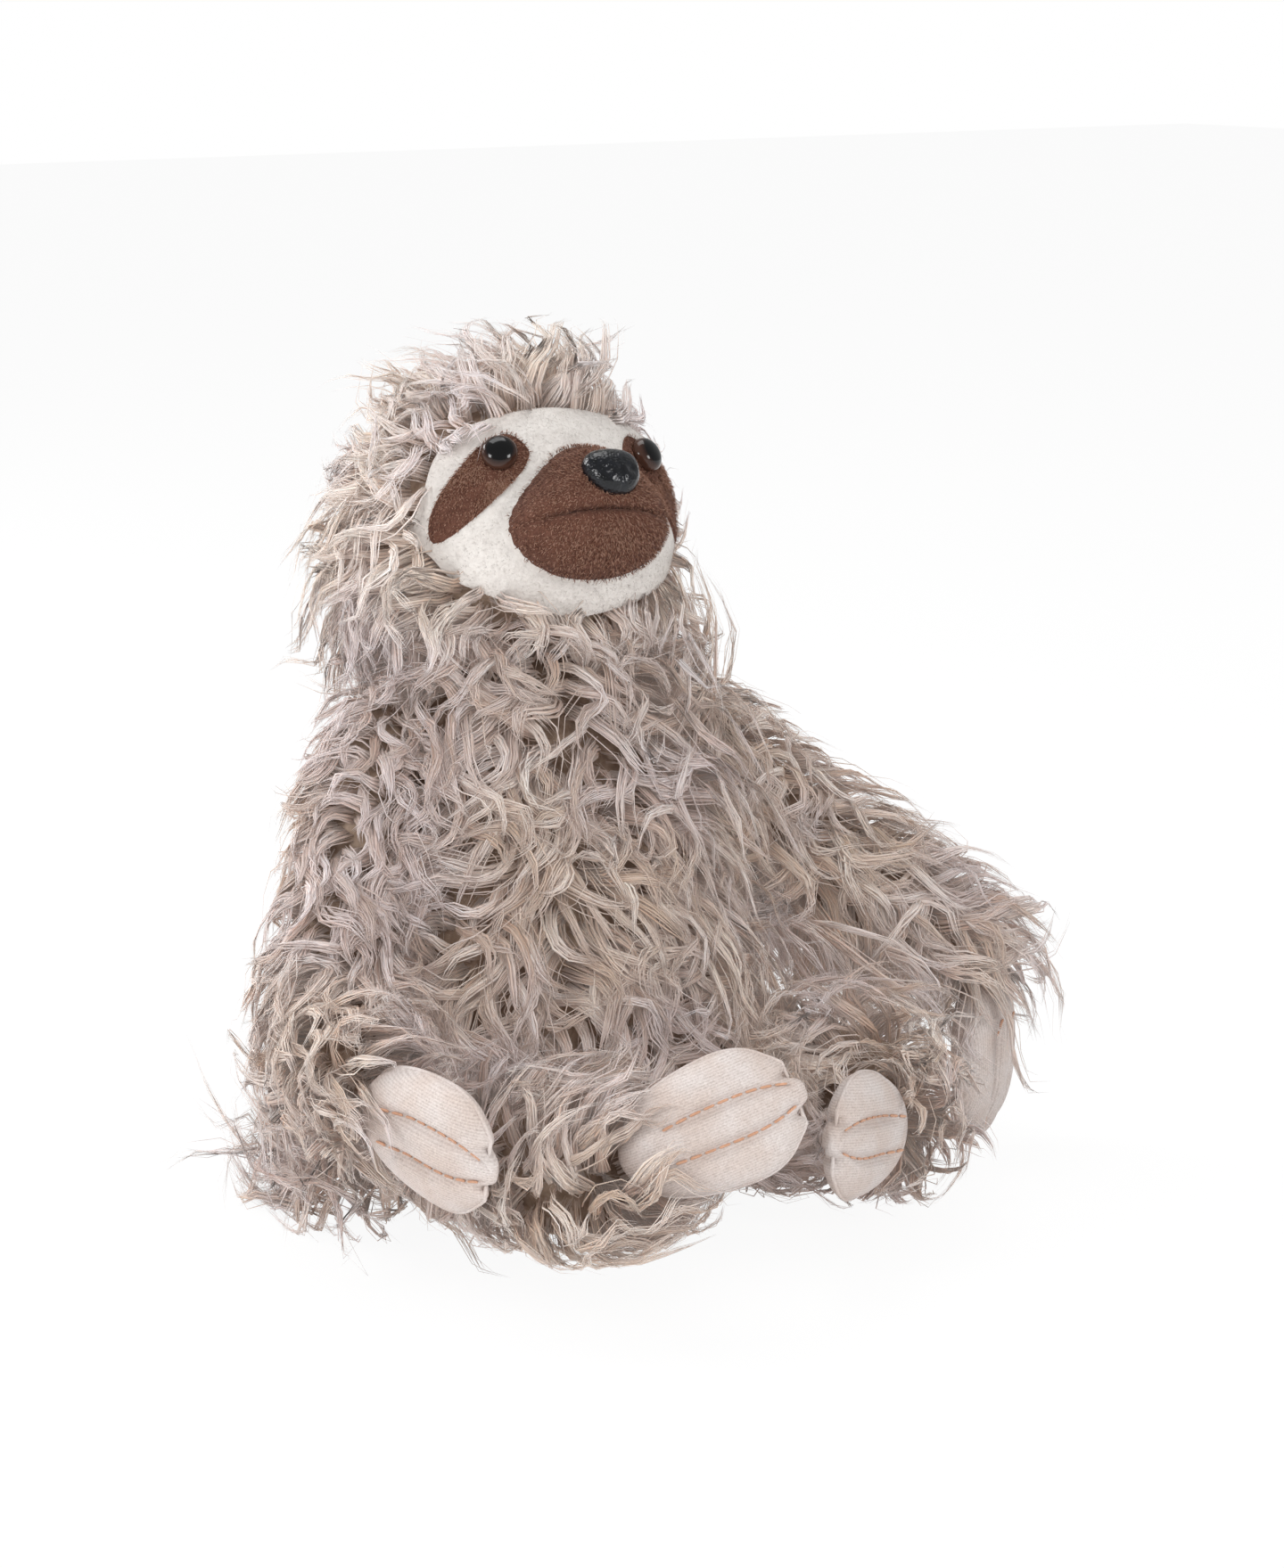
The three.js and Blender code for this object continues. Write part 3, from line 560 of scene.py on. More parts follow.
class Graph:
    """A material's nodes, with short ways to add and join them."""

    def __init__(self, name: str) -> None:
        """Starts a material that holds one Principled shader.

        Args:
            name: the material's name.
        """
        self.material = bpy.data.materials.new(name)
        self.material.use_nodes = True
        self.tree = self.material.node_tree
        self.shader = next(n for n in self.tree.nodes if n.type == "BSDF_PRINCIPLED")

    def add(self, kind: str, sockets: dict[str, object] | None = None, **settings: object) -> bpy.types.Node:
        """Adds a node.

        Args:
            kind: the node's type.
            sockets: by name or number, the inputs' values or the outputs that feed them.
            settings: the node's own settings.

        Returns:
            The node.
        """
        node = self.tree.nodes.new(kind)
        for key, value in settings.items():
            setattr(node, key, value)
        for key, value in (sockets or {}).items():
            self.feed(node.inputs[int(key) if key.isdigit() else key], value)
        return node

    def feed(self, socket: Socket, value: object) -> None:
        """Sets a socket, or links an output to it.

        Args:
            socket: an input.
            value: its value, or the output that feeds it.
        """
        if isinstance(value, Socket):
            self.tree.links.new(value, socket)
        else:
            socket.default_value = value

    def dress(self, **sockets: object) -> bpy.types.Material:
        """Sets the shader's sockets, whose names are written with underscores.

        Args:
            sockets: their values, or the outputs that feed them.

        Returns:
            The material.
        """
        for key, value in sockets.items():
            self.feed(self.shader.inputs[key.replace("_", " ").title().replace("Ior", "IOR")], value)
        return self.material

    def uv_places(self) -> tuple[Socket, Socket]:
        """The two parts of the piece's first UV map."""
        uv = self.add("ShaderNodeSeparateXYZ", {"0": self.add("ShaderNodeUVMap", uv_map="UVMap").outputs[0]})
        return uv.outputs[0], uv.outputs[1]

    def ramp(self, factor: Socket, stops: Sequence[tuple[float, str]]) -> Socket:
        """A colour ramp.

        Args:
            factor: what runs along it.
            stops: places from 0 to 1, and the hex colour at each.

        Returns:
            The ramp's colour.
        """
        node = self.add("ShaderNodeValToRGB", {"0": factor})
        while len(node.color_ramp.elements) < len(stops):
            node.color_ramp.elements.new(0.5)
        for element, (place, code) in zip(node.color_ramp.elements, stops):
            element.position, element.color = place, linear(code)
        return node.outputs["Color"]

    def mixed(self, factor: object, first: object, second: object, blend: str = "MIX") -> Socket:
        """Two colours mixed.

        Args:
            factor: the second's share.
            first: a colour, or the output that gives it.
            second: the same for the other.
            blend: how the second acts on the first.

        Returns:
            The mixed colour.
        """
        node = self.add("ShaderNodeMix", data_type="RGBA", blend_type=blend)
        for socket, value in ((node.inputs[0], factor), (node.inputs[6], first), (node.inputs[7], second)):
            self.feed(socket, value)
        return node.outputs[2]

    def noise(self, size: float, detail: float = 3.0) -> Socket:
        """Noise on object coordinates, whose grains are about `size` millimetres.

        Args:
            size: the grains' size.
            detail: how many finer layers it has.

        Returns:
            Its output.
        """
        coords = self.add("ShaderNodeTexCoord").outputs["Object"]
        node = self.add("ShaderNodeTexNoise", {"Vector": coords, "Scale": 1 / (size * MM), "Detail": detail})
        return node.outputs["Fac"]

    def bumped(self, height: Socket, depth: float) -> Socket:
        """A bump as deep as `depth` millimetres."""
        sockets = {"Height": height, "Distance": depth * MM, "Strength": 1.0}
        return self.add("ShaderNodeBump", sockets).outputs["Normal"]

    def math(self, operation: str, *values: object) -> Socket:
        """A Math node on some values."""
        sockets = {str(number): value for number, value in enumerate(values)}
        return self.add("ShaderNodeMath", sockets, operation=operation).outputs[0]


Stops = tuple[tuple[float, str], ...]
BLACK_TO_WHITE: Stops = ((0.0, "#000000"), (0.9, "#ffffff"))


@dataclass(frozen=True)
class LongFur:
    """Silky pile, dark and warm at its roots and pale at its tips. Fine fibres run along every strand.

    A strand's tint picks a place on both `tips` and `roots`, and `rise` says how far along it the tips'
    colour has taken over. The streaks' noise is stretched along the strand, so it reads as fibres. Scattering
    stands for the light that real pile lets through, and so does a faint warm emission, which is painted
    light that lifts the pile's shade.
    """

    tips: Stops = ((0.0, "#cbb7aa"), (0.3, "#dfcec7"), (0.62, "#efe4e1"), (1.0, "#fff9f8"))
    roots: Stops = ((0.0, "#9b8271"), (0.6, "#c0aa9b"), (1.0, "#dac8bb"))
    rise: Stops = ((0.04, "#000000"), (0.34, "#c4c4c4"), (0.75, "#ffffff"))
    streaks: Stops = ((0.3, "#b3a69f"), (0.5, "#f4f0ee"), (0.66, "#ffffff"))
    warmth: Stops = ((0.38, "#fff6ea"), (0.62, "#f9f3f5"))
    streaks_per_mm: Triple = (3.8, 0.07, 1.0)
    patch: float = 45.0
    relief: float = 0.06
    scatter: Triple = (1.0, 0.75, 0.65)
    scatter_depth: float = 1.5
    # Painted light: a faint warm emission over the whole pile that lifts its shade.
    glow: tuple[float, float, float, float] = (1.0, 0.84, 0.77, 1.0)
    glow_strength: float = 0.07

    def paint(self, graph: Graph) -> bpy.types.Material:
        """Makes the fur's material.

        Args:
            graph: the material's nodes.

        Returns:
            The material.
        """
        tint, share = graph.uv_places()
        tips = graph.ramp(tint, self.tips)
        roots = graph.ramp(tint, self.roots)
        colour = graph.mixed(graph.ramp(share, self.rise), roots, tips)
        fibre = graph.add("ShaderNodeUVMap", uv_map="Fibre").outputs[0]
        sockets = {"0": fibre, "1": self.streaks_per_mm}
        stretched = graph.add("ShaderNodeVectorMath", sockets, operation="MULTIPLY")
        sockets = {"Vector": stretched.outputs[0], "Scale": 1.0, "Detail": 2.0}
        fine = graph.add("ShaderNodeTexNoise", sockets).outputs["Fac"]
        colour = graph.mixed(1.0, colour, graph.ramp(fine, self.streaks), "MULTIPLY")
        warmth = graph.ramp(graph.noise(self.patch, 1), self.warmth)
        colour = graph.mixed(1.0, colour, warmth, "MULTIPLY")
        # The emission is painted light: a faint warm light from the fur itself that lifts the pile's shade.
        return graph.dress(
            base_color=colour, roughness=0.5, specular_ior_level=0.2, normal=graph.bumped(fine, self.relief),
            subsurface_weight=0.6, subsurface_radius=self.scatter, subsurface_scale=self.scatter_depth * MM,
            emission_color=self.glow, emission_strength=self.glow_strength,
        )


@dataclass(frozen=True)
class Backing:
    """The fur's backing cloth, which only shows as dark gaps between the locks."""

    shades: Stops = ((0.35, "#8f7a69"), (0.7, "#ad9887"))

    def paint(self, graph: Graph) -> bpy.types.Material:
        """Makes the backing's material."""
        colour = graph.ramp(graph.noise(3), self.shades)
        return graph.dress(base_color=colour, roughness=0.95, normal=graph.bumped(graph.noise(1.2), 0.4))


@dataclass(frozen=True)
class Plush:
    """Short brushed plush under its nap: two shades that mottle, and a soft grain."""

    low: str
    high: str
    grain: float

    def paint(self, graph: Graph) -> bpy.types.Material:
        """Makes the plush's material.

        Args:
            graph: the material's nodes.

        Returns:
            The material.
        """
        mottle = graph.mixed(0.5, graph.noise(self.grain * 4), graph.noise(self.grain))
        colour = graph.ramp(mottle, ((0.35, self.low), (0.65, self.high)))
        bump = graph.bumped(graph.noise(self.grain * 0.6, 4), 0.35)
        return graph.dress(
            base_color=colour, roughness=0.95, specular_ior_level=0.2, sheen_weight=0.05, normal=bump
        )


@dataclass(frozen=True)
class Nap:
    """Nap fibres: darker at the root, and each fibre between two tip shades."""

    root: str
    tip: str
    pale: str

    def paint(self, graph: Graph) -> bpy.types.Material:
        """Makes the nap's material.

        Args:
            graph: the material's nodes.

        Returns:
            The material.
        """
        tint, share = graph.uv_places()
        tips = graph.ramp(tint, ((0.2, self.tip), (1.0, self.pale)))
        colour = graph.mixed(graph.ramp(share, BLACK_TO_WHITE), linear(self.root), tips)
        return graph.dress(base_color=colour, roughness=0.7, specular_ior_level=0.12)


@dataclass(frozen=True)
class Knit:
    """Cream brushed knit: fine wales along the paw, broken by stitches, with a soft fuzz over them.

    The relief is sin(wale) * (0.65 + 0.35 sin(course)) for the loops, with noise for the fuzz. The colour
    follows the relief: the fuzz gives it a random tone, and it is darker where the loops are low, which is
    painted shade in the hollows between the wales.
    """

    wale: float = 0.85
    course: float = 0.9
    loop_share: float = 0.16
    fuzz_share: float = 0.9
    shades: Stops = ((0.1, "#aca19b"), (0.45, "#cac0bc"), (0.8, "#dcd5d1"))
    drift: Stops = ((0.35, "#f6efea"), (0.65, "#ffffff"))

    def paint(self, graph: Graph) -> bpy.types.Material:
        """Makes the knit's material, on UV places in millimetres.

        Args:
            graph: the material's nodes.

        Returns:
            The material.
        """
        across, along = graph.uv_places()
        wobble = graph.math("MULTIPLY", graph.noise(4, 2), 0.9)
        turns = graph.math("MULTIPLY", across, 2 * math.pi / self.wale)
        wales = graph.math("SINE", graph.math("ADD", turns, wobble))
        courses = graph.math("SINE", graph.math("MULTIPLY", along, 2 * math.pi / self.course))
        loops = graph.math("MULTIPLY", wales, graph.math("MULTIPLY_ADD", courses, 0.35, 0.65))
        fuzz = graph.math("MULTIPLY", graph.noise(0.7, 4), self.fuzz_share)
        height = graph.math("MULTIPLY_ADD", loops, self.loop_share, fuzz)
        # The colour follows the relief: random tone from the fuzz, and painted shade where the loops are low,
        # between the wales.
        shade = graph.ramp(height, self.shades)
        drift = graph.ramp(graph.noise(14, 2), self.drift)
        colour = graph.mixed(1.0, shade, drift, "MULTIPLY")
        bump = graph.bumped(height, 0.3)
        return graph.dress(
            base_color=colour, roughness=0.9, sheen_weight=0.08, sheen_roughness=0.4, normal=bump
        )


@dataclass(frozen=True)
class Thread:
    """Peach topstitching thread with a fine grain."""

    shades: Stops = ((0.3, "#b98a6d"), (0.7, "#d0a184"))

    def paint(self, graph: Graph) -> bpy.types.Material:
        """Makes the thread's material.

        Args:
            graph: the material's nodes.

        Returns:
            The material.
        """
        colour = graph.ramp(graph.noise(0.8), self.shades)
        bump = graph.bumped(graph.noise(0.3), 0.1)
        return graph.dress(base_color=colour, roughness=0.6, sheen_weight=0.2, normal=bump)


@dataclass(frozen=True)
class EyeGloss:
    """A glossy button eye: a black pupil inside a dark brown ring, under a clear coat."""

    rings: Stops = ((0.0, "#040405"), (0.72, "#050405"), (0.84, "#2a1812"), (0.97, "#412a21"))

    def paint(self, graph: Graph) -> bpy.types.Material:
        """Makes the eye's material, whose rings follow the share of the radius.

        Args:
            graph: the material's nodes.

        Returns:
            The material.
        """
        _, radius = graph.uv_places()
        colour = graph.ramp(graph.math("MULTIPLY_ADD", graph.noise(2), 0.05, radius), self.rings)
        return graph.dress(
            base_color=colour, roughness=0.2, specular_ior_level=0.1, coat_weight=0.55, coat_roughness=0.02
        )


@dataclass(frozen=True)
class NosePlastic:
    """Moulded black plastic with a pebbled skin and a worn shine."""

    shades: Stops = ((0.35, "#08090c"), (0.7, "#12141a"))
    wear: Stops = ((0.3, "#1e1e1e"), (0.7, "#323232"))
    pebble: float = 0.9
    relief: float = 0.2

    def paint(self, graph: Graph) -> bpy.types.Material:
        """Makes the nose's material.

        Args:
            graph: the material's nodes.

        Returns:
            The material.
        """
        coords = graph.add("ShaderNodeTexCoord").outputs["Object"]
        scale = 1 / (self.pebble * MM)
        cells = graph.add("ShaderNodeTexVoronoi", {"Vector": coords, "Scale": scale}, feature="SMOOTH_F1")
        height = graph.math("MULTIPLY_ADD", graph.noise(0.5), 0.4, cells.outputs["Distance"])
        colour = graph.ramp(graph.noise(2.5), self.shades)
        rough = graph.ramp(graph.noise(1.5), self.wear)
        bump = graph.bumped(height, self.relief)
        return graph.dress(
            base_color=colour, roughness=rough, specular_ior_level=0.42, coat_weight=0.06, normal=bump
        )


@dataclass(frozen=True)
class WasherPlastic:
    """Moulded natural plastic."""

    shades: Stops = ((0.3, "#dcdcd8"), (0.7, "#ededea"))

    def paint(self, graph: Graph) -> bpy.types.Material:
        """Makes the washers' material."""
        colour = graph.ramp(graph.noise(3), self.shades)
        return graph.dress(base_color=colour, roughness=0.5, normal=graph.bumped(graph.noise(0.6), 0.03))


class Finish(Enum):
    """The finishes of the toy's own materials, made when first asked for."""

    LONG_FUR = LongFur()
    BACKING = Backing()
    WHITE_PLUSH = Plush("#cdc7c2", "#dad5d0", 1.6)
    BROWN_PLUSH = Plush("#52342a", "#6c493c", 0.8)
    WHITE_NAP = Nap("#d0cac5", "#dbd6d1", "#e6e2de")
    BROWN_NAP = Nap("#462a20", "#8a5f4c", "#c89f8a")
    KNIT = Knit()
    THREAD = Thread()
    EYE = EyeGloss()
    NOSE = NosePlastic()
    WASHER = WasherPlastic()

    def material(self) -> bpy.types.Material:
        """The finish's material. Its name differs from those of the CAD model's own materials."""
        name = f"{self.name.lower()}_finish"
        return bpy.data.materials.get(name) or self.value.paint(Graph(name))


# Pieces


def finished(obj: bpy.types.Object, finish: Finish, body: str) -> bpy.types.Object:
    """Gives a piece its finish and the CAD body that it rides on.

    Args:
        obj: the piece.
        finish: its finish.
        body: the body that it moves with.

    Returns:
        The piece.
    """
    obj.data.materials.clear()
    obj.data.materials.append(finish.material())
    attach(obj, body)
    log.info("%s: %d faces on %s", obj.name, len(obj.data.polygons), body)
    return obj


@dataclass(frozen=True)
class Bounds:
    """The room that the loose fur may take: the CAD model's box and a little more, above the floor."""

    low: Array
    high: Array
    softness: float = 5.0
    floor: float = 0.5

    def held(self, points: Array) -> Array:
        """Points eased back as they near the room's sides.

        Args:
            points: places of any shape by 3.

        Returns:
            The same, where the reach past each softened edge is softness * (1 - e^(-reach / softness)), and
            none is below the floor.
        """
        edge = self.high - self.softness
        over = np.maximum(points - edge, 0)
        points = np.where(over > 0, edge + self.softness * (1 - np.exp(-over / self.softness)), points)
        edge = self.low + self.softness
        over = np.maximum(edge - points, 0)
        eased = np.where(over > 0, edge - self.softness * (1 - np.exp(-over / self.softness)), points)
        eased[..., 2] = np.maximum(points[..., 2], self.floor)
        return eased


BACKING_DEPTH = 11.0


@dataclass(frozen=True)
class Split:
    """How a lock splits into fibres. A pair of numbers is the least and the most of a random draw.

    A lock has `broad` bundles of `width` and, to `fibres` in all, fine ones of `fine`. `tuft` times `size` is
    the scale of its cross-section. The bundles lie side by side out to `breadth`, each within `jitter` of its
    place, in an arch that is `arch` high, give or take `jolt`. Fine fibres stand anywhere out to `reach`, in
    an oval `low` up and flattened by `flat`. The share `strays` of these stand `astray` times as far out and
    splay on by `splay`. All others are drawn in by `gather` near the root, and by `point` towards the tip,
    less the lock's own `fray` to the power `fray_power`. Each adds a `crimp`, times the first of
    `crimp_shares` if it is broad and the second if not, with `crimp_beats` along it. It ends at `broad_end`
    or `fine_end` of the lock and faces up within the angle `facing`, and bundles are turned aside by up to
    `cup`. `tint` is the spread of the fibres' own tints.
    """

    fibres: int = 11
    broad: int = 6
    width: Pair = (0.8, 1.45)
    fine: Pair = (0.3, 0.65)
    tuft: float = 3.8
    size: Pair = (0.65, 1.25)
    breadth: float = 0.8
    jitter: float = 0.2
    arch: float = 0.35
    jolt: float = 0.12
    reach: float = 1.2
    low: float = 0.15
    flat: float = 0.5
    strays: float = 0.3
    astray: float = 1.4
    splay: float = 0.5
    gather: float = 0.42
    point: float = 0.56
    fray: Pair = (0.08, 0.6)
    fray_power: float = 1.5
    crimp: Pair = (0.1, 0.4)
    crimp_shares: Pair = (0.6, 1.4)
    crimp_beats: Pair = (1.5, 4.0)
    broad_end: Pair = (0.72, 0.96)
    fine_end: Pair = (0.8, 1.0)
    facing: float = 0.25
    cup: float = 0.35
    tint: float = 0.1

    def offsets(
        self, count: int, share: Array, rng: np.random.Generator
    ) -> tuple[Array, Array, Array, Array]:
        """Places the fibres of every lock round its line.

        Args:
            count: how many locks there are.
            share: shares along a lock.
            rng: where the draws come from.

        Returns:
            For each fibre its place in the row of bundles, which lie from -1 to 1, whether it is broad, and
            how far aside of its lock's line and above it the fibre runs at each share.
        """
        many = count * self.fibres
        lock, place = np.divmod(np.arange(many), self.fibres)
        size = self.tuft * rng.uniform(*self.size, count)[lock]
        broad = place < self.broad
        row = (place + 0.5) / self.broad * 2 - 1 + rng.uniform(-self.jitter, self.jitter, many)
        reach, way = np.sqrt(rng.uniform(0, 1, many)) * self.reach, rng.uniform(0, 2 * math.pi, many)
        stray = ~broad & (rng.uniform(size=many) < self.strays)
        reach = np.where(stray, reach * self.astray, reach)
        fray = rng.uniform(*self.fray, count)[lock, None] ** self.fray_power
        gather = 1 - self.gather * smooth(0.0, 0.4, share) - (self.point - fray) * smooth(0.45, 1.0, share)
        spread = np.where(stray[:, None], 1.0 + self.splay * share, gather)
        aside = (size * np.where(broad, self.breadth * row, reach * np.cos(way)))[:, None] * spread
        dome = self.arch * (1 - row**2) + rng.uniform(-self.jolt, self.jolt, many)
        oval = self.low + self.flat * reach * np.sin(way)
        above = (size * np.where(broad, dome, oval))[:, None] * spread
        crimp = (rng.uniform(*self.crimp, many) * np.where(broad, *self.crimp_shares))[:, None]
        crimp = crimp * smooth(0.1, 0.5, share)
        beat = rng.uniform(*self.crimp_beats, many)[:, None] * 2 * math.pi * share
        beat = beat + rng.uniform(0, 6.28, many)[:, None]
        return row, broad, aside + crimp * np.sin(beat), above + crimp * np.cos(beat * 0.9)


@dataclass(frozen=True)
class Coat:
    """The long fur of one part of the toy. A pair of numbers is the least and the most of a random draw.

    What it grows on and where: `lean` gives the way that the pile wants to lie at some places, given the way
    out there; `kept` says where it grows; `trim` scales its length; `over` is the form that it lies on,
    where that isn't the form that it grows from; `depth` is how far its roots lie below that form; `room`
    and `floor` are what it keeps inside and above.

    How a lock runs: `loft` is how far it rises over its root, at `loft_rate`. It leaves by `lift`, which
    falls off by `lift_fall` along it, lies at `stand`, and turns up or down by `flick` past `flick_from`.
    `rise` scales the first two. `sway` is how far it bends from side to side, `beats` how often, `curl` and
    `wave` are the radius and the length of its coils, `swirl` is the pull of whorls of `swirl_size` that it
    shares with its neighbours, `stray` the pull of its own, and `turn` the share of each step's way that is
    new. A step pushes it out by `push` at most. `pale` lightens it, and twice as much over the heights of
    `crown`, where the extra lightening is painted light on the top of the head.
    """

    name: str
    body: str
    form: Form
    lean: Field
    kept: Field
    room: Bounds
    seed: int
    trim: Field | None = None
    over: Form | None = None
    pieces: int = 1
    depth: float = BACKING_DEPTH
    spacing: float = 6.6
    length: Pair = (32.0, 54.0)
    floor: float = 1.6
    loft: float = 9.0
    loft_rate: float = 3.2
    lift: float = 1.5
    lift_fall: float = 5.5
    stand: float = 0.07
    rise: Pair = (0.75, 1.25)
    flick: Pair = (-0.25, 0.5)
    flick_from: float = 0.6
    push: float = 4.0
    sway: Pair = (0.5, 1.4)
    beats: Pair = (0.45, 1.1)
    curl: Pair = (0.6, 2.4)
    wave: Pair = (20.0, 38.0)
    swirl: float = 0.7
    swirl_size: float = 52.0
    stray: float = 0.6
    turn: float = 0.6
    split: Split = Split()
    steps: int = 10
    places: int = 7
    pale: float = 0.0
    crown: Pair = (238.0, 266.0)

    def locks(self, rng: np.random.Generator) -> tuple[Array, Array, Array]:
        """Grows the middle line of every lock at once, step by step.

        Args:
            rng: where the draws come from.

        Returns:
            The lines (n by steps + 1 by 3), the way across each at each place, and the locks' lengths. A line
            leaves the backing steeply, lies over as it rises, keeps some of the way that it had, is pushed
            out where it would sink under the pile and stays above the floor.
        """
        roots, under = self.form.roots(self.spacing, rng), self.over or self.form
        roots = roots[self.kept(roots)]
        out, count = self.form.normal(roots), len(roots)
        trim = self.trim(roots) if self.trim else np.ones(count)
        length = rng.uniform(*self.length, count) * trim
        whorls = Waves(self.seed, self.swirl_size)
        stray = unit(rng.normal(size=(count, 3))) * self.stray
        sway = rng.uniform(*self.sway, count)
        beat, start = rng.uniform(*self.beats, count), rng.uniform(0, 1, count)
        rise = rng.uniform(*self.rise, count)[:, None]
        flick = rng.uniform(*self.flick, count)[:, None]
        place = roots - out * self.depth
        heading = out.copy()
        line, across = [place], []
        for step in range(self.steps):
            share = (step + 0.5) / self.steps
            out = under.normal(place)
            turned = np.stack([whorls.at(place + 40 * i) for i in range(3)], axis=-1) * self.swirl
            want = self.lean(place) + turned + stray
            flat = unit(want - (want * out).sum(axis=-1, keepdims=True) * out)
            bend = (sway * np.sin(2 * math.pi * (beat * share + start)))[:, None]
            flat = flat * np.cos(bend) + np.cross(out, flat) * np.sin(bend)
            lift = self.lift * rise * math.exp(-share * self.lift_fall) + self.stand
            aim = unit(flat + out * (lift + flick * max(0.0, share - self.flick_from)))
            heading = unit((1 - self.turn) * heading + self.turn * aim)
            place = place + heading * (length / self.steps)[:, None]
            height = under.distance(place)
            loft = min(1.0, share * self.loft_rate) * self.loft * rise[:, 0] * np.minimum(trim, 1.15)
            place = place + out * np.clip(loft - self.depth - height, 0, self.push)[:, None]
            place[:, 2] = np.maximum(place[:, 2], self.floor)
            line.append(place)
            across.append(unit(np.cross(out, flat)))
        across.append(across[-1])
        return np.stack(line, axis=1), np.stack(across, axis=1), length

    def strands(self) -> Strands:
        """Splits every lock into its fibres.

        Returns:
            The fibres. The lock's line is wound with a curl that grows from its root. Each fibre runs beside
            it, ends a little short, and faces up or partly aside.
        """
        rng = np.random.default_rng(self.seed)
        line, across, length = self.locks(rng)
        count, share = len(line), np.linspace(0, 1, self.steps + 1)
        over = np.cross(unit(np.gradient(line, axis=1)), across)
        turns = length / rng.uniform(*self.wave, count)
        phase = rng.uniform(0, 2 * math.pi, count)
        angle = phase[:, None] + 2 * math.pi * turns[:, None] * share[None, :]
        swell = (rng.uniform(*self.curl, count)[:, None] * smooth(0.05, 0.55, share)[None, :])[..., None]
        line = line + swell * (np.cos(angle)[..., None] * across + 0.75 * np.sin(angle)[..., None] * over)
        split = self.split
        row, broad, aside, above = split.offsets(count, share, rng)
        many = len(row)
        lock = np.arange(many) // split.fibres
        paths = line[lock] + aside[..., None] * across[lock] + above[..., None] * over[lock]
        ends = np.where(broad, rng.uniform(*split.broad_end, many), rng.uniform(*split.fine_end, many))
        paths = resampled(paths, ends, self.places)
        facing = rng.uniform(-split.facing, split.facing, many) - split.cup * np.where(broad, row, 0)
        facing = facing[:, None, None]
        normals = resampled(over[lock], ends, self.places) * np.cos(facing)
        normals = normals + resampled(across[lock], ends, self.places) * np.sin(facing)
        # Painted light: locks rooted over the crown, the top of the head, have their tint lifted twice as
        # much.
        pale = self.pale * (1 + smooth(*self.crown, line[:, 0, 2]))
        tint = (rng.beta(1.5, 1.5, count) + pale)[lock] + rng.normal(0, split.tint, many)
        width = np.where(broad, rng.uniform(*split.width, many), rng.uniform(*split.fine, many))
        return Strands(self.room.held(paths), normals, width, np.clip(tint, 0.01, 0.99))

    def build(self) -> None:
        """Makes the coat's fur, in as many pieces as the mesh limit asks for, each a layer by height."""
        hair = self.strands()
        order = np.argsort(hair.paths[:, 0, 2], kind="stable")
        for number, part in enumerate(np.array_split(order, self.pieces), start=1):
            strands = Strands(hair.paths[part], hair.normals[part], hair.width[part], hair.tint[part])
            points, faces, uv, fibre = strands.mesh()
            points[:, 2] = np.maximum(points[:, 2], self.room.floor)
            obj = new_object(f"{self.name}_{number}", points, faces, uv, fibre)
            finished(obj, Finish.LONG_FUR, self.body)


def resampled(paths: Array, ends: Array, places: int) -> Array:
    """Paths cut short and given a new number of places, by straight interpolation.

    Args:
        paths: n by k by d.
        ends: n shares of the paths' lengths, where each is cut.
        places: how many places each gets.

    Returns:
        n by places by d.
    """
    run = np.linspace(0, 1, places)[None, :] * ends[:, None] * (paths.shape[1] - 1)
    start = np.minimum(run.astype(int), paths.shape[1] - 2)
    rest = (run - start)[..., None]
    rows = np.arange(len(paths))[:, None]
    return paths[rows, start] * (1 - rest) + paths[rows, start + 1] * rest


BACKING_FLOOR = 1.0


def backing(name: str, form: Form, body: str, grow: float, replaced: Sequence[str]) -> bpy.types.Object:
    """The stuffed cloth under a coat, which stands for the CAD cover and what fills it.

    Args:
        name: the piece's name.
        form: the coat's form.
        body: the body that it moves with.
        grow: how far it stands out from the form, negative inside.
        replaced: the CAD nodes that it stands for.

    Returns:
        The piece, which keeps above the floor.
    """
    points, faces = form.skin(grow, 28, 40)
    points[:, 2] = np.maximum(points[:, 2], BACKING_FLOOR)
    obj = finished(new_object(name, points, faces), Finish.BACKING, body)
    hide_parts(*replaced)
    return obj


# Torso and limbs


PROUD_SHARE = 0.03
PROUD = 9.0


def pieces_room() -> Bounds:
    """How far the pile may reach.

    Returns:
        The CAD model's box, let out by a share of each side and a few millimetres.
    """
    low, high = (np.array(corner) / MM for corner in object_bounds())
    proud = PROUD_SHARE * (high - low) + PROUD
    return Bounds(low - proud, high + proud)


DOWN = np.array([0.0, 0.0, -1.0])


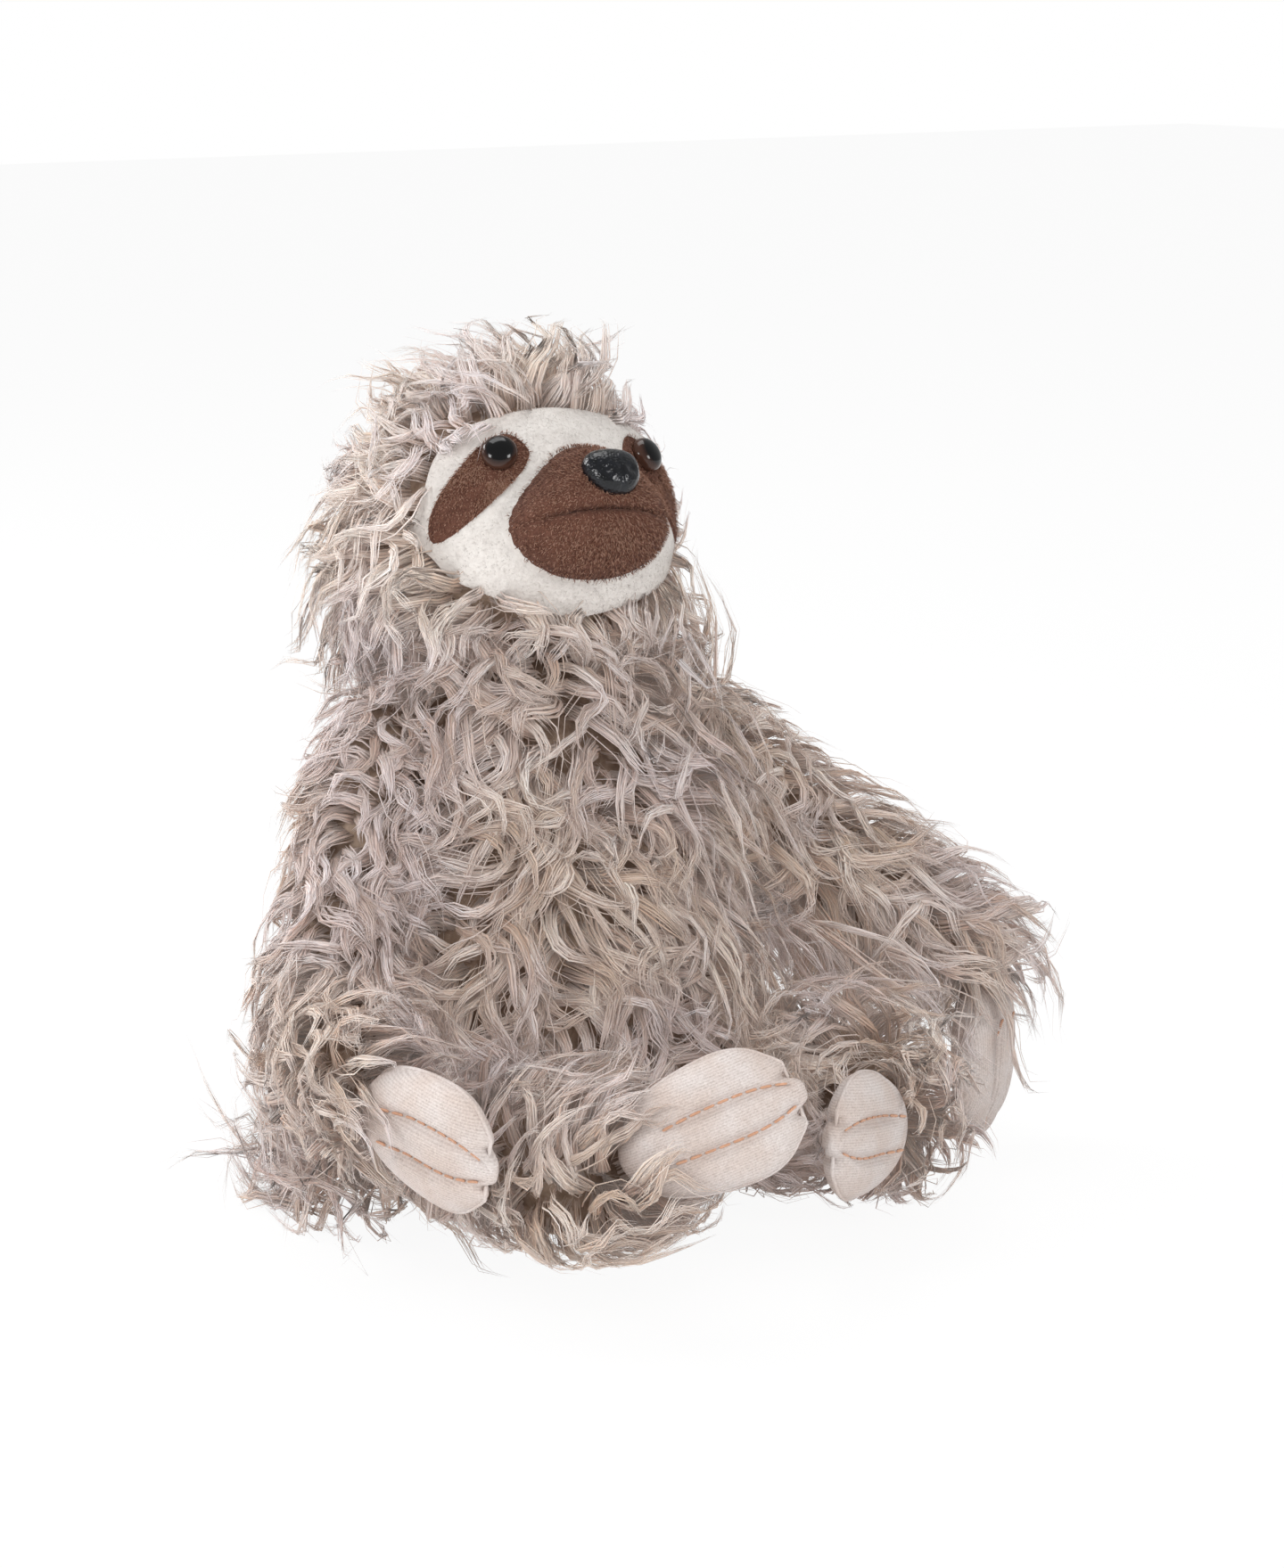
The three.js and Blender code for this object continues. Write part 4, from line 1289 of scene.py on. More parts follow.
@dataclass(frozen=True)
class Torso:
    """The pear-shaped body that everything is sewn to.

    A pair of numbers is where one of the pile's zones begins and where it is full: heights for `spread`,
    `ruff`, `skirt`, `collar` and the flank's two ends, X for `left` and Y for `front`. Fur keeps off the
    limbs' roots, within `root_reach` of their first stations, where it is deeper in them than `sewn_depth`,
    off the seat below its two heights, and off the neck.
    """

    room: Bounds
    height: float = 205.0
    half_width: float = 72.0
    half_depth: float = 66.0
    belly_forward: float = 12.0
    sink: float = 14.0
    spread: Pair = (90.0, 20.0)
    ruff: Pair = (148.0, 196.0)
    skirt: Pair = (75.0, 25.0)
    collar: Pair = (128.0, 160.0)
    left: Pair = (10.0, 45.0)
    front: Pair = (-10.0, -40.0)
    flank_foot: Pair = (45.0, 70.0)
    flank_head: Pair = (125.0, 100.0)
    pressed: Pair = (-3.0, -9.0)
    root_reach: float = 62.0
    sewn_depth: float = 9.0
    seat_front: float = 16.0
    seat_back: float = 5.0
    neck_height: float = 199.0

    @property
    def form(self) -> Stuffed:
        """The same stations as the CAD model's torso.

        Returns:
            The form.
        """
        share = np.array([0, 0.1, 0.25, 0.42, 0.6, 0.76, 0.89, 1])
        width = np.array([0.8, 0.95, 1.02, 1, 0.92, 0.84, 0.74, 0.56])
        depth = np.array([0.8, 0.94, 1.02, 1.02, 0.92, 0.8, 0.7, 0.6])
        forward = np.array([0.5, 0.8, 1, 1, 0.8, 0.45, 0.15, 0])
        columns = [
            0 * share,
            -self.belly_forward * forward,
            -self.sink + (self.height + self.sink) * share,
            self.half_width * width,
            self.half_depth * depth,
        ]
        return Stuffed(np.stack(columns, axis=-1), (1.0, 0.0, 0.0), 6.0)

    def lean(self, points: Array) -> Array:
        """The way that the pile wants to lie.

        Args:
            points: n by 3 places.

        Returns:
            n by 3 ways. The pile hangs, stands out round the neck and under the left arm, and spreads
            outwards near the floor.
        """
        low = smooth(*self.spread, points[:, 2])[:, None]
        high = smooth(*self.ruff, points[:, 2])[:, None]
        flank = self.flank(points)[:, None]
        aside = unit(points * np.array([1.0, 1.0, 0.0]))
        return DOWN * (1.0 - 0.7 * low - 0.9 * high) + aside * (1.5 * low + 1.0 * high + 0.8 * flank)

    def flank(self, points: Array) -> Array:
        """1 on the left side below the arm, 0 elsewhere."""
        middle = smooth(*self.flank_foot, points[:, 2]) * smooth(*self.flank_head, points[:, 2])
        return smooth(*self.left, points[:, 0]) * middle

    def trim(self, points: Array) -> Array:
        """How long the pile is, as a share.

        Args:
            points: n by 3 places.

        Returns:
            n shares: more low down at the sides and behind, round the neck's left and on the left flank, and
            less at the belly's foot.
        """
        low = smooth(*self.skirt, points[:, 2])
        front = smooth(*self.front, points[:, 1])
        left = smooth(*self.left, points[:, 0])
        neck = smooth(*self.collar, points[:, 2])
        sides = left * (0.9 * neck + 0.25 * low) + 0.45 * self.flank(points)
        return 1 + 1.35 * low * (1 - front) - 0.45 * low * front * (1 - left) + sides

    def build(self, limbs: Sequence[Stuffed]) -> None:
        """Makes the stuffed backing and the coat, which stays away from where the limbs are sewn on.

        Args:
            limbs: the arms' and legs' forms.
        """
        names = ["torso_front_cover", "torso_back_cover", "torso_fill", "pellet_bag"]
        backing("torso_backing", self.form, "torso", -BACKING_DEPTH, names)

        def gap(points: Array) -> Array:
            """How far points are outside the nearest limb, negative inside."""
            return np.min([limb.distance(points) for limb in limbs], axis=0)

        def trim(points: Array) -> Array:
            """The pile's share of its length, less where an arm lies against the body."""
            pressed = smooth(*self.pressed, gap(points)) * (points[:, 2] > self.root_reach)
            return self.trim(points) * (1 - 0.6 * pressed)

        def kept(points: Array) -> Array:
            """Away from the limbs' roots and the neck, and not under the seat.

            Args:
                points: n by 3 places.

            Returns:
                Whether each place grows a lock.
            """
            away = [np.linalg.norm(points - limb.stations[0, :3], axis=-1) for limb in limbs]
            clear = (gap(points) > -self.sewn_depth) | (np.min(away, axis=0) > self.root_reach)
            seat = np.where(points[:, 1] < 0, self.seat_front, self.seat_back)
            return clear & (points[:, 2] > seat) & (points[:, 2] < self.neck_height)

        coat = Coat("torso_fur", "torso", self.form, self.lean, kept, self.room, SEED + 1, trim, pieces=4)
        coat.build()


@dataclass(frozen=True)
class Paw:
    """A hand or foot: two knit panels sewn round the edge over fibre, drawn in by stitching into three claws.

    The stitched lines run where the paw's ring passes `line_angle` on either side of each panel's middle.
    `groove_width` is a share of the half width, and `groove_depth` of the thickness. `claw_dent` is how far
    the tip is drawn back on a line, over `dent_width`, and `corner_round` how far at its two sides.
    """

    name: str
    body: str
    panels: tuple[str, str, str]
    place: Place
    length: float = 62.0
    half_width: float = 20.0
    half_thickness: float = 9.5
    line_angle: float = 72.0
    groove_width: float = 0.085
    groove_depth: float = 0.42
    claw_dent: float = 4.2
    dent_width: float = 1.9
    corner_round: float = 3.0
    stitch: float = 3.1
    stitch_gap: float = 1.3
    stitch_rise: float = 0.5
    stitch_sink: float = 0.35
    thread_radius: float = 0.5
    seam_radius: float = 0.75

    def groove(self, along: Array, round_: Array) -> Array:
        """The share of the thickness left: 1 less a bell across each stitched line, fading at both ends."""
        line = (np.abs(np.cos(round_)) - math.cos(math.radians(self.line_angle))) / self.groove_width
        return 1 - self.groove_depth * smooth(0.26, 0.5, along) * bell(line) * smooth(1.0, 0.93, along)

    @property
    def form(self) -> Stuffed:
        """The paw in its own frame.

        Returns:
            The form.
        """
        share = np.array([0, 0.22, 0.48, 0.74, 1])
        width = np.array([0.6, 0.84, 1, 1, 0.72])
        depth = np.array([0.8, 1, 1, 0.86, 0.55])
        zero = 0 * share
        columns = [zero, self.length * share, zero, self.half_width * width, self.half_thickness * depth]
        return Stuffed(np.stack(columns, axis=-1), (1.0, 0.0, 0.0), 4.0, groove=self.groove)

    def lobed(self, points: Array) -> Array:
        """The claws' ends.

        Args:
            points: places in the paw's own frame.

        Returns:
            The same, with the tip drawn back on each stitched line and at its sides.
        """
        line = math.cos(math.radians(self.line_angle)) * self.half_width
        dent = bell((np.abs(points[:, 0]) - line) / self.dent_width)
        fade = smooth(0.80 * self.length, self.length, points[:, 1])
        moved = points.copy()
        moved[:, 1] -= self.claw_dent * dent * fade
        moved[:, 1] -= self.corner_round * smooth(0.5, 1.0, np.abs(points[:, 0]) / self.half_width) * fade
        return moved

    def distance(self, points: Array) -> Array:
        """About how far points stand above the paw's skin.

        Args:
            points: places in the toy's frame.

        Returns:
            Distances from the elliptic tube that the paw fills, negative inside.
        """
        own = self.place.into(points)
        level = np.hypot(own[:, 0] / self.half_width, own[:, 2] / self.half_thickness)
        aside = np.hypot(own[:, 0], own[:, 2]) * (1 - 1 / np.maximum(level, 0.1))
        beyond = np.maximum(-own[:, 1], own[:, 1] - self.length)
        return np.where(beyond > 0, np.hypot(np.maximum(aside, 0), beyond), aside)

    def stitches(self) -> bpy.types.Object:
        """Topstitching on both panels.

        Returns:
            Short capsules of thread, end to end in each valley, whose ends dip into the cloth.
        """
        form, tubes = self.form, []
        sag = np.array([1, 0.3, 0, 0.3, 1])[:, None]
        ends = np.arange(0.30 * self.length, 0.90 * self.length, self.stitch + self.stitch_gap)
        for angle in (self.line_angle, 180 - self.line_angle, -self.line_angle, self.line_angle - 180):
            for start in ends:
                level = np.linspace(start, start + self.stitch, 5) / self.length
                path = form.at(level, np.full(5, math.radians(angle)), self.stitch_rise)
                dip = np.sign(angle) * np.array([0, 0, self.stitch_sink]) * sag
                tubes.append(self.place.out(path - dip))
        return tube_set(f"{self.name}_stitches", np.array(tubes), self.thread_radius)

    def seam(self) -> bpy.types.Object:
        """The sewn edge between the panels.

        Returns:
            A low rolled ridge along both of the paw's sides.
        """
        level = np.linspace(0.1, 0.985, 40)
        sides = [self.form.at(level, np.full(40, angle), 0.0) for angle in (0.0, math.pi)]
        edges = np.array([self.place.out(self.lobed(side)) for side in sides])
        return tube_set(f"{self.name}_seam", edges, self.seam_radius)

    def build(self) -> None:
        """Makes the stuffed paw, its seam and its stitching."""
        points, faces = self.form.skin(0.0, 64, 96)
        points = self.lobed(points)
        uv = points[:, :2].copy()
        obj = new_object(self.name, self.place.out(points), faces, uv)
        finished(obj, Finish.KNIT, self.body)
        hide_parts(*self.panels)
        finished(self.seam(), Finish.KNIT, self.body)
        finished(self.stitches(), Finish.THREAD, self.body)


@dataclass(frozen=True)
class Joined(Form):
    """A limb and its paw as one form for pile to lie on, `lift` over the paw."""

    limb: Form
    paw: Paw
    lift: float = 3.5

    def distance(self, points: Array) -> Array:
        """See Form."""
        return np.minimum(self.limb.distance(points), self.paw.distance(points) - self.lift)


def tube_set(name: str, paths: Array, radius: float, sides: int = 6) -> bpy.types.Object:
    """Round closed tubes along some paths.

    Args:
        name: the piece's name.
        paths: n paths by k places by 3.
        radius: the tubes' radius.
        sides: how many points a ring has.

    Returns:
        One piece with all tubes. Each ring stands across its path, on the frame of the path's tangent and a
        fixed way, and each end is closed on a pole that stands out by half the radius.
    """
    count, places = paths.shape[:2]
    tangent = unit(np.gradient(paths, axis=1))
    first = unit(np.cross(tangent, np.array([0.31, 0.87, 0.38])))
    second = np.cross(tangent, first)
    turn = np.linspace(0, 2 * math.pi, sides, endpoint=False)
    taper = np.ones(places)
    taper[[0, -1]] = 0.7
    ring = np.cos(turn)[:, None] * first[:, :, None] + np.sin(turn)[:, None] * second[:, :, None]
    body = (paths[:, :, None] + ring * (radius * taper)[None, :, None, None]).reshape(count, -1, 3)
    poles = [paths[:, 0] - tangent[:, 0] * radius / 2, paths[:, -1] + tangent[:, -1] * radius / 2]
    ends = np.stack(poles, axis=1)
    size = places * sides + 2
    faces = (capped_grid(places, sides)[None] + (np.arange(count) * size)[:, None, None]).reshape(-1, 4)
    points = np.concatenate([body, ends], axis=1).reshape(-1, 3)
    uv = np.tile(np.linspace(0, 1, size)[:, None], (count, 2))
    return new_object(name, points, faces, uv)


@dataclass(frozen=True)
class Limb:
    """An arm or a leg: a bent stuffed tube with its coat, and the paw at its end.

    `root`, `bend` and `end` are its stations and `halves` their half sizes. The pile follows the limb by
    `follow` and hangs by `droop`, and past the bend it leans to `splay`. Over the cuff it runs on along the
    paw by `cuff_ahead`, with `fan` of the splay. It stays above `floor`. Its length is `cuff_pile` at the
    wrist, `skirt` more on the underside, `root_trim` less at the root and `press_trim` less where the limb
    lies against the body. A pair of numbers is where one of these zones begins and where it is full: the
    distance from the wrist for `cuff`, `bare` and `hang`, along the paw for `behind`, from the root for
    `root_zone`, and outside the body for `pressed`.
    """

    name: str
    side: Side
    root: Triple
    bend: Triple
    end: Triple
    halves: Triple
    across: Triple
    paw: Paw
    droop: float
    splay: Triple = (0.0, 0.0, 0.0)
    floor: float = 1.6
    cuff_pile: float = 0.75
    root_trim: float = 0.0
    fan: float = 0.3
    skirt: float = 0.0
    follow: float = 0.55
    cuff_ahead: float = 1.3
    full_pile: float = 1.05
    press_trim: float = 0.55
    bend_ease: float = 20.0
    cuff: Pair = (56.0, 34.0)
    behind: Pair = (-40.0, -12.0)
    bare: Pair = (14.0, 40.0)
    hang: Pair = (30.0, 60.0)
    root_zone: Pair = (95.0, 35.0)
    pressed: Pair = (0.0, -6.0)
    socket_gap: float = 6.0
    sewn_depth: float = 4.0
    paw_core: float = 8.0
    core_start: float = -2.0
    lowest_root: float = 1.0

    @property
    def form(self) -> Stuffed:
        """The limb's three stations, the first run back into its socket as in the CAD model.

        Returns:
            The form.
        """
        root, bend, end = (np.array(p) for p in (self.root, self.bend, self.end))
        start = root + unit(root - bend) * self.halves[0]
        places = np.stack([start, bend, end])
        halves = np.array(self.halves)[:, None]
        return Stuffed(np.hstack([places, halves, halves]), self.across, 5.0)

    def lean(self, points: Array) -> Array:
        """The way that the pile wants to lie.

        Args:
            points: n by 3 places.

        Returns:
            n by 3 ways: towards the paw and down, past the bend also to one side, and along the paw at the
            cuff.
        """
        root, bend, end = (np.array(p) for p in (self.root, self.bend, self.end))
        upper, lower = unit(bend - root), unit(end - bend)
        past = smooth(-self.bend_ease, self.bend_ease, (points - bend) @ unit(upper + lower))[:, None]
        splay = np.array(self.splay)
        lean = self.follow * (upper * (1 - past) + lower * past) + self.droop * DOWN + past * splay
        ahead = unit(self.paw.place.turn[:, 1])
        wrist = points - np.array(self.paw.place.origin)
        cuff = smooth(*self.cuff, np.linalg.norm(wrist, axis=-1)) * smooth(*self.behind, wrist @ ahead)
        cuff = cuff[:, None]
        return lean * (1 - cuff) + (self.cuff_ahead * ahead + self.fan * splay) * cuff

    def build(self, room: Bounds, torso: Form, seed: int) -> None:
        """Makes the limb's backing, its coat and its paw.

        Args:
            room: what the fur keeps inside.
            torso: the body's form.
            seed: where the coat's draws start.
        """
        body = f"{self.name}_{self.side.label}"
        replaced = [f"{self.name}_{part}_{self.side.label}" for part in ("cover", "fill")]
        backing(f"{self.name}_backing_{self.side.label}", self.form, body, -BACKING_DEPTH, replaced)
        root, wrist = np.array(self.root), np.array(self.paw.place.origin)
        along = unit(self.paw.place.turn[:, 1])

        def kept(points: Array) -> Array:
            """Outside the torso or past the root, and not where the paw leaves the cuff.

            Args:
                points: n by 3 places.

            Returns:
                Whether each place grows a lock.
            """
            ahead = points - wrist
            aside = np.linalg.norm(ahead - (ahead @ along)[:, None] * along, axis=-1)
            past = np.linalg.norm(points - root, axis=-1) > self.halves[0] + self.socket_gap
            outside = (torso.distance(points) > -self.sewn_depth) | past
            core = (aside < self.paw_core) & (ahead @ along > self.core_start)
            return outside & ~core & (points[:, 2] > self.lowest_root)

        def trim(points: Array) -> Array:
            """The pile's share of its length, by the zones that the class describes.

            Args:
                points: n by 3 places.

            Returns:
                n shares.
            """
            away = np.linalg.norm(points - wrist, axis=-1)
            bare = self.cuff_pile + (self.full_pile - self.cuff_pile) * smooth(*self.bare, away)
            below = smooth(0.1, -0.5, self.form.normal(points)[:, 2])
            hang = 1 + self.skirt * below * smooth(*self.hang, away)
            near = smooth(*self.root_zone, np.linalg.norm(points - root, axis=-1))
            pressed = smooth(*self.pressed, torso.distance(points))
            return bare * hang * (1 - self.root_trim * near) * (1 - self.press_trim * pressed)

        coat = Coat(
            f"{self.name}_fur_{self.side.label}", body, self.form, self.lean, kept, room, seed,
            trim=trim, over=Joined(self.form, self.paw), pieces=2, floor=self.floor,
        )
        coat.build()
        self.paw.build()


# Head


def closed_outline(corners: Array, count: int) -> tuple[Array, Array]:
    """A closed smooth outline in polar form.

    Args:
        corners: n by 2 places round the outline.
        count: how many angles to give.

    Returns:
        The middle, and the reach from it at evenly spread angles. The corners are joined by a closed spline,
        whose reach is read off against its angle.
    """
    ring = spline(np.vstack([corners[-2:], corners, corners[:3]]), np.linspace(0, 1, 900))
    middle = corners.mean(axis=0)
    away = ring - middle
    angle = np.arctan2(away[:, 1], away[:, 0])
    order = np.argsort(angle)
    wanted = np.linspace(-math.pi, math.pi, count, endpoint=False)
    reach = np.interp(wanted, angle[order], np.linalg.norm(away, axis=-1)[order], period=2 * math.pi)
    return middle, reach


@dataclass(frozen=True)
class Panel:
    """A sewn plush panel of the face.

    It stands for the CAD nodes `replaced`. Seen from the front its outline passes through `corners`. It lies
    `proud` of the face and is `thick`. Its nap has `nap_count` fibres, with lengths in `nap_length`, and none
    where the muzzle covers it if it is `under_muzzle`. Its mesh has `rings` of `columns` places.
    """

    name: str
    replaced: tuple[str, ...]
    finish: Finish
    nap: Finish
    slot: str
    corners: Array
    proud: float
    thick: float
    nap_length: Pair
    nap_count: int
    seed: int
    rings: int
    columns: int
    under_muzzle: bool = False


@dataclass(frozen=True)
class Head:
    """The head: a fur hood round a plush mask with dark eye patches and a swelling brown muzzle.

    All sizes are in the head's own frame: X to its left, Z up and the face towards -Y. Forms have half sizes.
    The mask's outline is given by shares of its width and height, and a patch's by shares of its length and
    width, on the slope that it lies at.
    """

    room: Bounds
    skull: Triple = (52.0, 48.0, 45.0)
    skull_roundness: float = 2.3
    muzzle: Triple = (29.5, 26.0, 22.0)
    muzzle_roundness: float = 2.2
    muzzle_forward: float = 40.0
    muzzle_drop: float = 4.0
    muzzle_taper: float = 0.4
    muzzle_inset: float = 0.995
    ease: float = 3.0
    mouth_drop: float = 2.2
    mouth_sag: float = 3.0
    mouth_depth: float = 2.6
    mouth_width: float = 1.15
    lip_swell: float = 0.8
    lip_away: float = 4.2
    lip_width: float = 3.2
    dart_depth: float = 1.1
    dart_aside: float = 0.6
    dart_width: float = 0.7
    face_half_width: float = 50.0
    face_top: float = 34.0
    face_bottom: float = 36.0
    mask_sides: tuple[float, ...] = (0, 0.36, 0.66, 0.86, 0.96, 1, 0.92, 0.82, 0.66, 0.42, 0)
    mask_levels: tuple[float, ...] = (1, 0.94, 0.81, 0.53, 0.1, -0.17, -0.39, -0.6, -0.75, -0.89, -1)
    patch_along: tuple[float, ...] = (-0.215, -0.17, 0, 0.22, 0.55, 0.8, 0.66, 0.38, 0.02)
    patch_across: tuple[float, ...] = (0.09, -0.44, -0.55, -0.46, -0.32, -0.12, 0.28, 0.48, 0.42)
    patch_length: float = 40.0
    patch_width: float = 15.0
    patch_slope: float = 52.0
    edge_crowding: float = 0.85
    edge_sharpness: int = 24
    edge_sink: float = 0.35
    nap_sink: float = 0.25
    nap_fall: float = 12.0
    nap_stray: float = 0.45
    nap_middle: Pair = (0.42, 0.18)
    nap_tip: Pair = (0.62, 0.62)
    nap_width: Pair = (0.16, 0.3)
    eye_spread: float = 27.0
    eye_lift: float = 16.0
    eye_radius: float = 6.0
    eye_proud: float = 0.5
    dome_foot: float = 1.3
    dome_height: float = 3.9
    dome_fullness: float = 0.9
    nose_halves: Triple = (9.4, 6.5, 8.3)
    nose_lift: float = 9.0
    nose_roundness: float = 2.5
    nose_widening: float = 0.16
    nostril_depth: float = 0.9
    nostril_middle: Pair = (4.6, -1.8)
    nostril_halves: Pair = (1.7, 1.5)
    philtrum_depth: float = 0.55
    philtrum_width: float = 0.7
    pebble: float = 0.05
    hood: Triple = (57.0, 57.0, 54.0)
    hood_back: float = 5.0
    stuffing: Triple = (49.0, 46.0, 43.0)
    stuffing_back: float = 3.5
    neck_level: float = -38.0
    neck_radius: float = 30.0

    def bulge(self, x: Array, z: Array, halves: Triple, roundness: float) -> Array:
        """How far a rounded form stands in front of its own centre at x and z: 0 outside its outline."""
        rest = 1 - np.abs(x / halves[0]) ** roundness - np.abs(z / halves[2]) ** roundness
        return halves[1] * np.maximum(rest, 0) ** (1 / roundness)

    def taper(self, low: Array) -> Array:
        """The share of the muzzle's width at a height over its middle: it narrows towards its top."""
        return 1 - self.muzzle_taper * smooth(-8.0, 22.0, low)

    def front(self, x: Array, z: Array) -> Array:
        """The face's depth.

        Args:
            x: places across.
            z: heights.

        Returns:
            Y there: the greater of the skull's and the muzzle's fronts, eased over a few millimetres. The
            mouth is a narrow valley across the muzzle between two soft lips, and the chin has a short dart.
        """
        skull = self.bulge(x, z, self.skull, self.skull_roundness)
        low = z + self.muzzle_drop
        swell = self.bulge(x / self.taper(low), low, self.muzzle, self.muzzle_roundness)
        muzzle = np.where(swell > 0, self.muzzle_forward + swell, 0)
        near = np.maximum(0, 1 - np.abs(skull - muzzle) / self.ease)
        both = np.maximum(skull, muzzle) + self.ease * 0.25 * near**2
        mouth = low + self.mouth_drop + self.mouth_sag * (x / self.muzzle[0]) ** 2
        fade = smooth(27.5, 21.0, np.abs(x))
        both = both - self.mouth_depth * fade * bell(mouth / self.mouth_width)
        both = both + self.lip_swell * fade * bell((np.abs(mouth) - self.lip_away) / self.lip_width)
        dart = smooth(-13.5, -16.5, low) * smooth(-24, -20, low)
        return self.dart_depth * dart * bell((x + self.dart_aside) / self.dart_width) - both

    def surface(self, x: Array, z: Array, proud: Array | float) -> Array:
        """Points on the face's front, moved out along its slope.

        Args:
            x: places across.
            z: heights.
            proud: how far out.

        Returns:
            The places. The slope comes from the depths a little to both sides and above and below, and
            where the form's side is steep the way out still leans forward.
        """
        step = 0.4
        y = self.front(x, z)
        slope_x = (self.front(x + step, z) - self.front(x - step, z)) / (2 * step)
        slope_z = (self.front(x, z + step) - self.front(x, z - step)) / (2 * step)
        out = unit(np.stack([slope_x, -np.ones_like(y), slope_z], axis=-1))
        out[..., 1] = np.minimum(out[..., 1], -0.2)
        return np.stack([x, y, z], axis=-1) + unit(out) * np.asarray(proud)[..., None]

    def mask(self) -> Array:
        """The mask's outline: its left half from the top down, then the right half back up.

        Returns:
            n by 2 places.
        """
        level = np.array(self.mask_levels)
        tall = np.where(level > 0, self.face_top, self.face_bottom) * level
        half = np.stack([self.face_half_width * np.array(self.mask_sides), tall], axis=-1)
        return np.vstack([half, half[-2:0:-1] * np.array([-1, 1])])

    def muzzle_ring(self) -> Array:
        """The muzzle's outline: a rounded oval that narrows towards its top, just inside the form's own.

        Returns:
            n by 2 places.
        """
        turn = np.linspace(0, 2 * math.pi, 48, endpoint=False)
        power = self.muzzle_roundness
        reach = (np.abs(np.cos(turn)) ** power + np.abs(np.sin(turn)) ** power) ** (-1 / power)
        across, height = self.muzzle[0] * np.cos(turn) * reach, self.muzzle[2] * np.sin(turn) * reach
        ring = np.stack([across * self.taper(height), height], axis=-1) * self.muzzle_inset
        return ring - np.array([0, self.muzzle_drop])

    def patch(self, hand: Side) -> Array:
        """An eye patch's outline: a drop that slopes down and outwards from the eye.

        Args:
            hand: whose.

        Returns:
            n by 2 places.
        """
        along = np.array(self.patch_along) * self.patch_length
        across = np.array(self.patch_across) * self.patch_width
        slope = math.radians(self.patch_slope)
        x = hand.value * (self.eye_spread + along * math.cos(slope) + across * math.sin(slope))
        return np.stack([x, self.eye_lift - along * math.sin(slope) + across * math.cos(slope)], axis=-1)

    def panels(self) -> list[Panel]:
        """The mask, the muzzle and the two eye patches.

        Returns:
            The panels, from the lowest layer up.
        """
        white, brown = (Finish.WHITE_PLUSH, Finish.WHITE_NAP), (Finish.BROWN_PLUSH, Finish.BROWN_NAP)
        made = [
            Panel(
                "face_plush", ("face_panel",), *white, "short_plush", self.mask(),
                proud=0.0, thick=2.4, nap_length=(0.7, 1.2), nap_count=6500,
                seed=SEED + 30, rings=44, columns=150, under_muzzle=True,
            ),
            Panel(
                "muzzle_plush", ("muzzle_upper", "muzzle_lower"), *brown, "brown_plush", self.muzzle_ring(),
                proud=0.7, thick=2.4, nap_length=(1.3, 2.3), nap_count=9500,
                seed=SEED + 31, rings=56, columns=140,
            ),
        ]
        for hand in Side:
            name, node = f"eye_patch_plush_{hand.label}", f"eye_patch_{hand.label}"
            made.append(Panel(
                name, (node,), *brown, "brown_plush", self.patch(hand),
                proud=0.7, thick=2.0, nap_length=(1.2, 2.2), nap_count=3200,
                seed=SEED + 33 + hand.value, rings=26, columns=96,
            ))
        return made

    def sew(self, panel: Panel) -> None:
        """Makes one panel as a closed sheet whose edge rolls in, and its nap.

        The front grid is polar. Its rings crowd towards the outline, and at the last of them the cloth turns
        down into the face.

        Args:
            panel: which.
        """
        middle, reach = closed_outline(panel.corners, panel.columns)
        share = np.sin(np.linspace(0, math.pi / 2, panel.rings + 1)) ** self.edge_crowding
        angle = np.linspace(-math.pi, math.pi, panel.columns, endpoint=False)
        x = middle[0] + share[:, None] * (reach * np.cos(angle))[None, :]
        z = middle[1] + share[:, None] * (reach * np.sin(angle))[None, :]
        roll = np.sqrt(np.maximum(0, 1 - share**self.edge_sharpness))[:, None]
        front = self.surface(x, z, panel.proud * roll - self.edge_sink * (1 - roll) + 0 * x)
        back = self.surface(x, z, panel.proud - panel.thick + 0 * x)
        points, faces = shell(front, back)
        obj = new_object(panel.name, HEAD_PLACE.out(points), faces)
        turn_outwards(obj)
        finished(obj, panel.finish, "head")
        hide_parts(*panel.replaced)
        self.brush(panel, middle, reach)

    def brush(self, panel: Panel, middle: Array, reach: Array) -> None:
        """Grows a panel's nap: short fibres that stand up, then lean outwards and down with some strays.

        Args:
            panel: which.
            middle: its outline's middle.
            reach: how far its outline lies from there, at evenly spread angles.
        """
        rng = np.random.default_rng(panel.seed)
        count = panel.nap_count
        turn = rng.uniform(-math.pi, math.pi, count)
        share = np.sqrt(rng.uniform(0, 1, count)) * 0.995
        angles = np.linspace(-math.pi, math.pi, panel.columns, endpoint=False)
        edge = np.interp(turn, angles, reach, period=2 * math.pi)
        x, z = middle[0] + share * edge * np.cos(turn), middle[1] + share * edge * np.sin(turn)
        if panel.under_muzzle:
            low = z + self.muzzle_drop
            across = np.abs(x / self.taper(low) / self.muzzle[0]) ** self.muzzle_roundness
            hidden = across + np.abs(low / self.muzzle[2]) ** self.muzzle_roundness < 0.94
            x, z = x[~hidden], z[~hidden]
        root = self.surface(x, z, panel.proud - self.nap_sink + 0 * x)
        out = unit(self.surface(x, z, 1 + 0 * x) - self.surface(x, z, 0 * x))
        lean = np.stack([x - middle[0], 0 * x, z - middle[1] - self.nap_fall], axis=-1)
        lean = unit(unit(lean) + rng.normal(0, self.nap_stray, lean.shape))
        lean = unit(lean - (lean * out).sum(axis=-1, keepdims=True) * out)
        length = rng.uniform(*panel.nap_length, len(x))[:, None]
        shape = (self.nap_middle, self.nap_tip)
        bent, tip = (root + length * (rise * out + run * lean) for rise, run in shape)
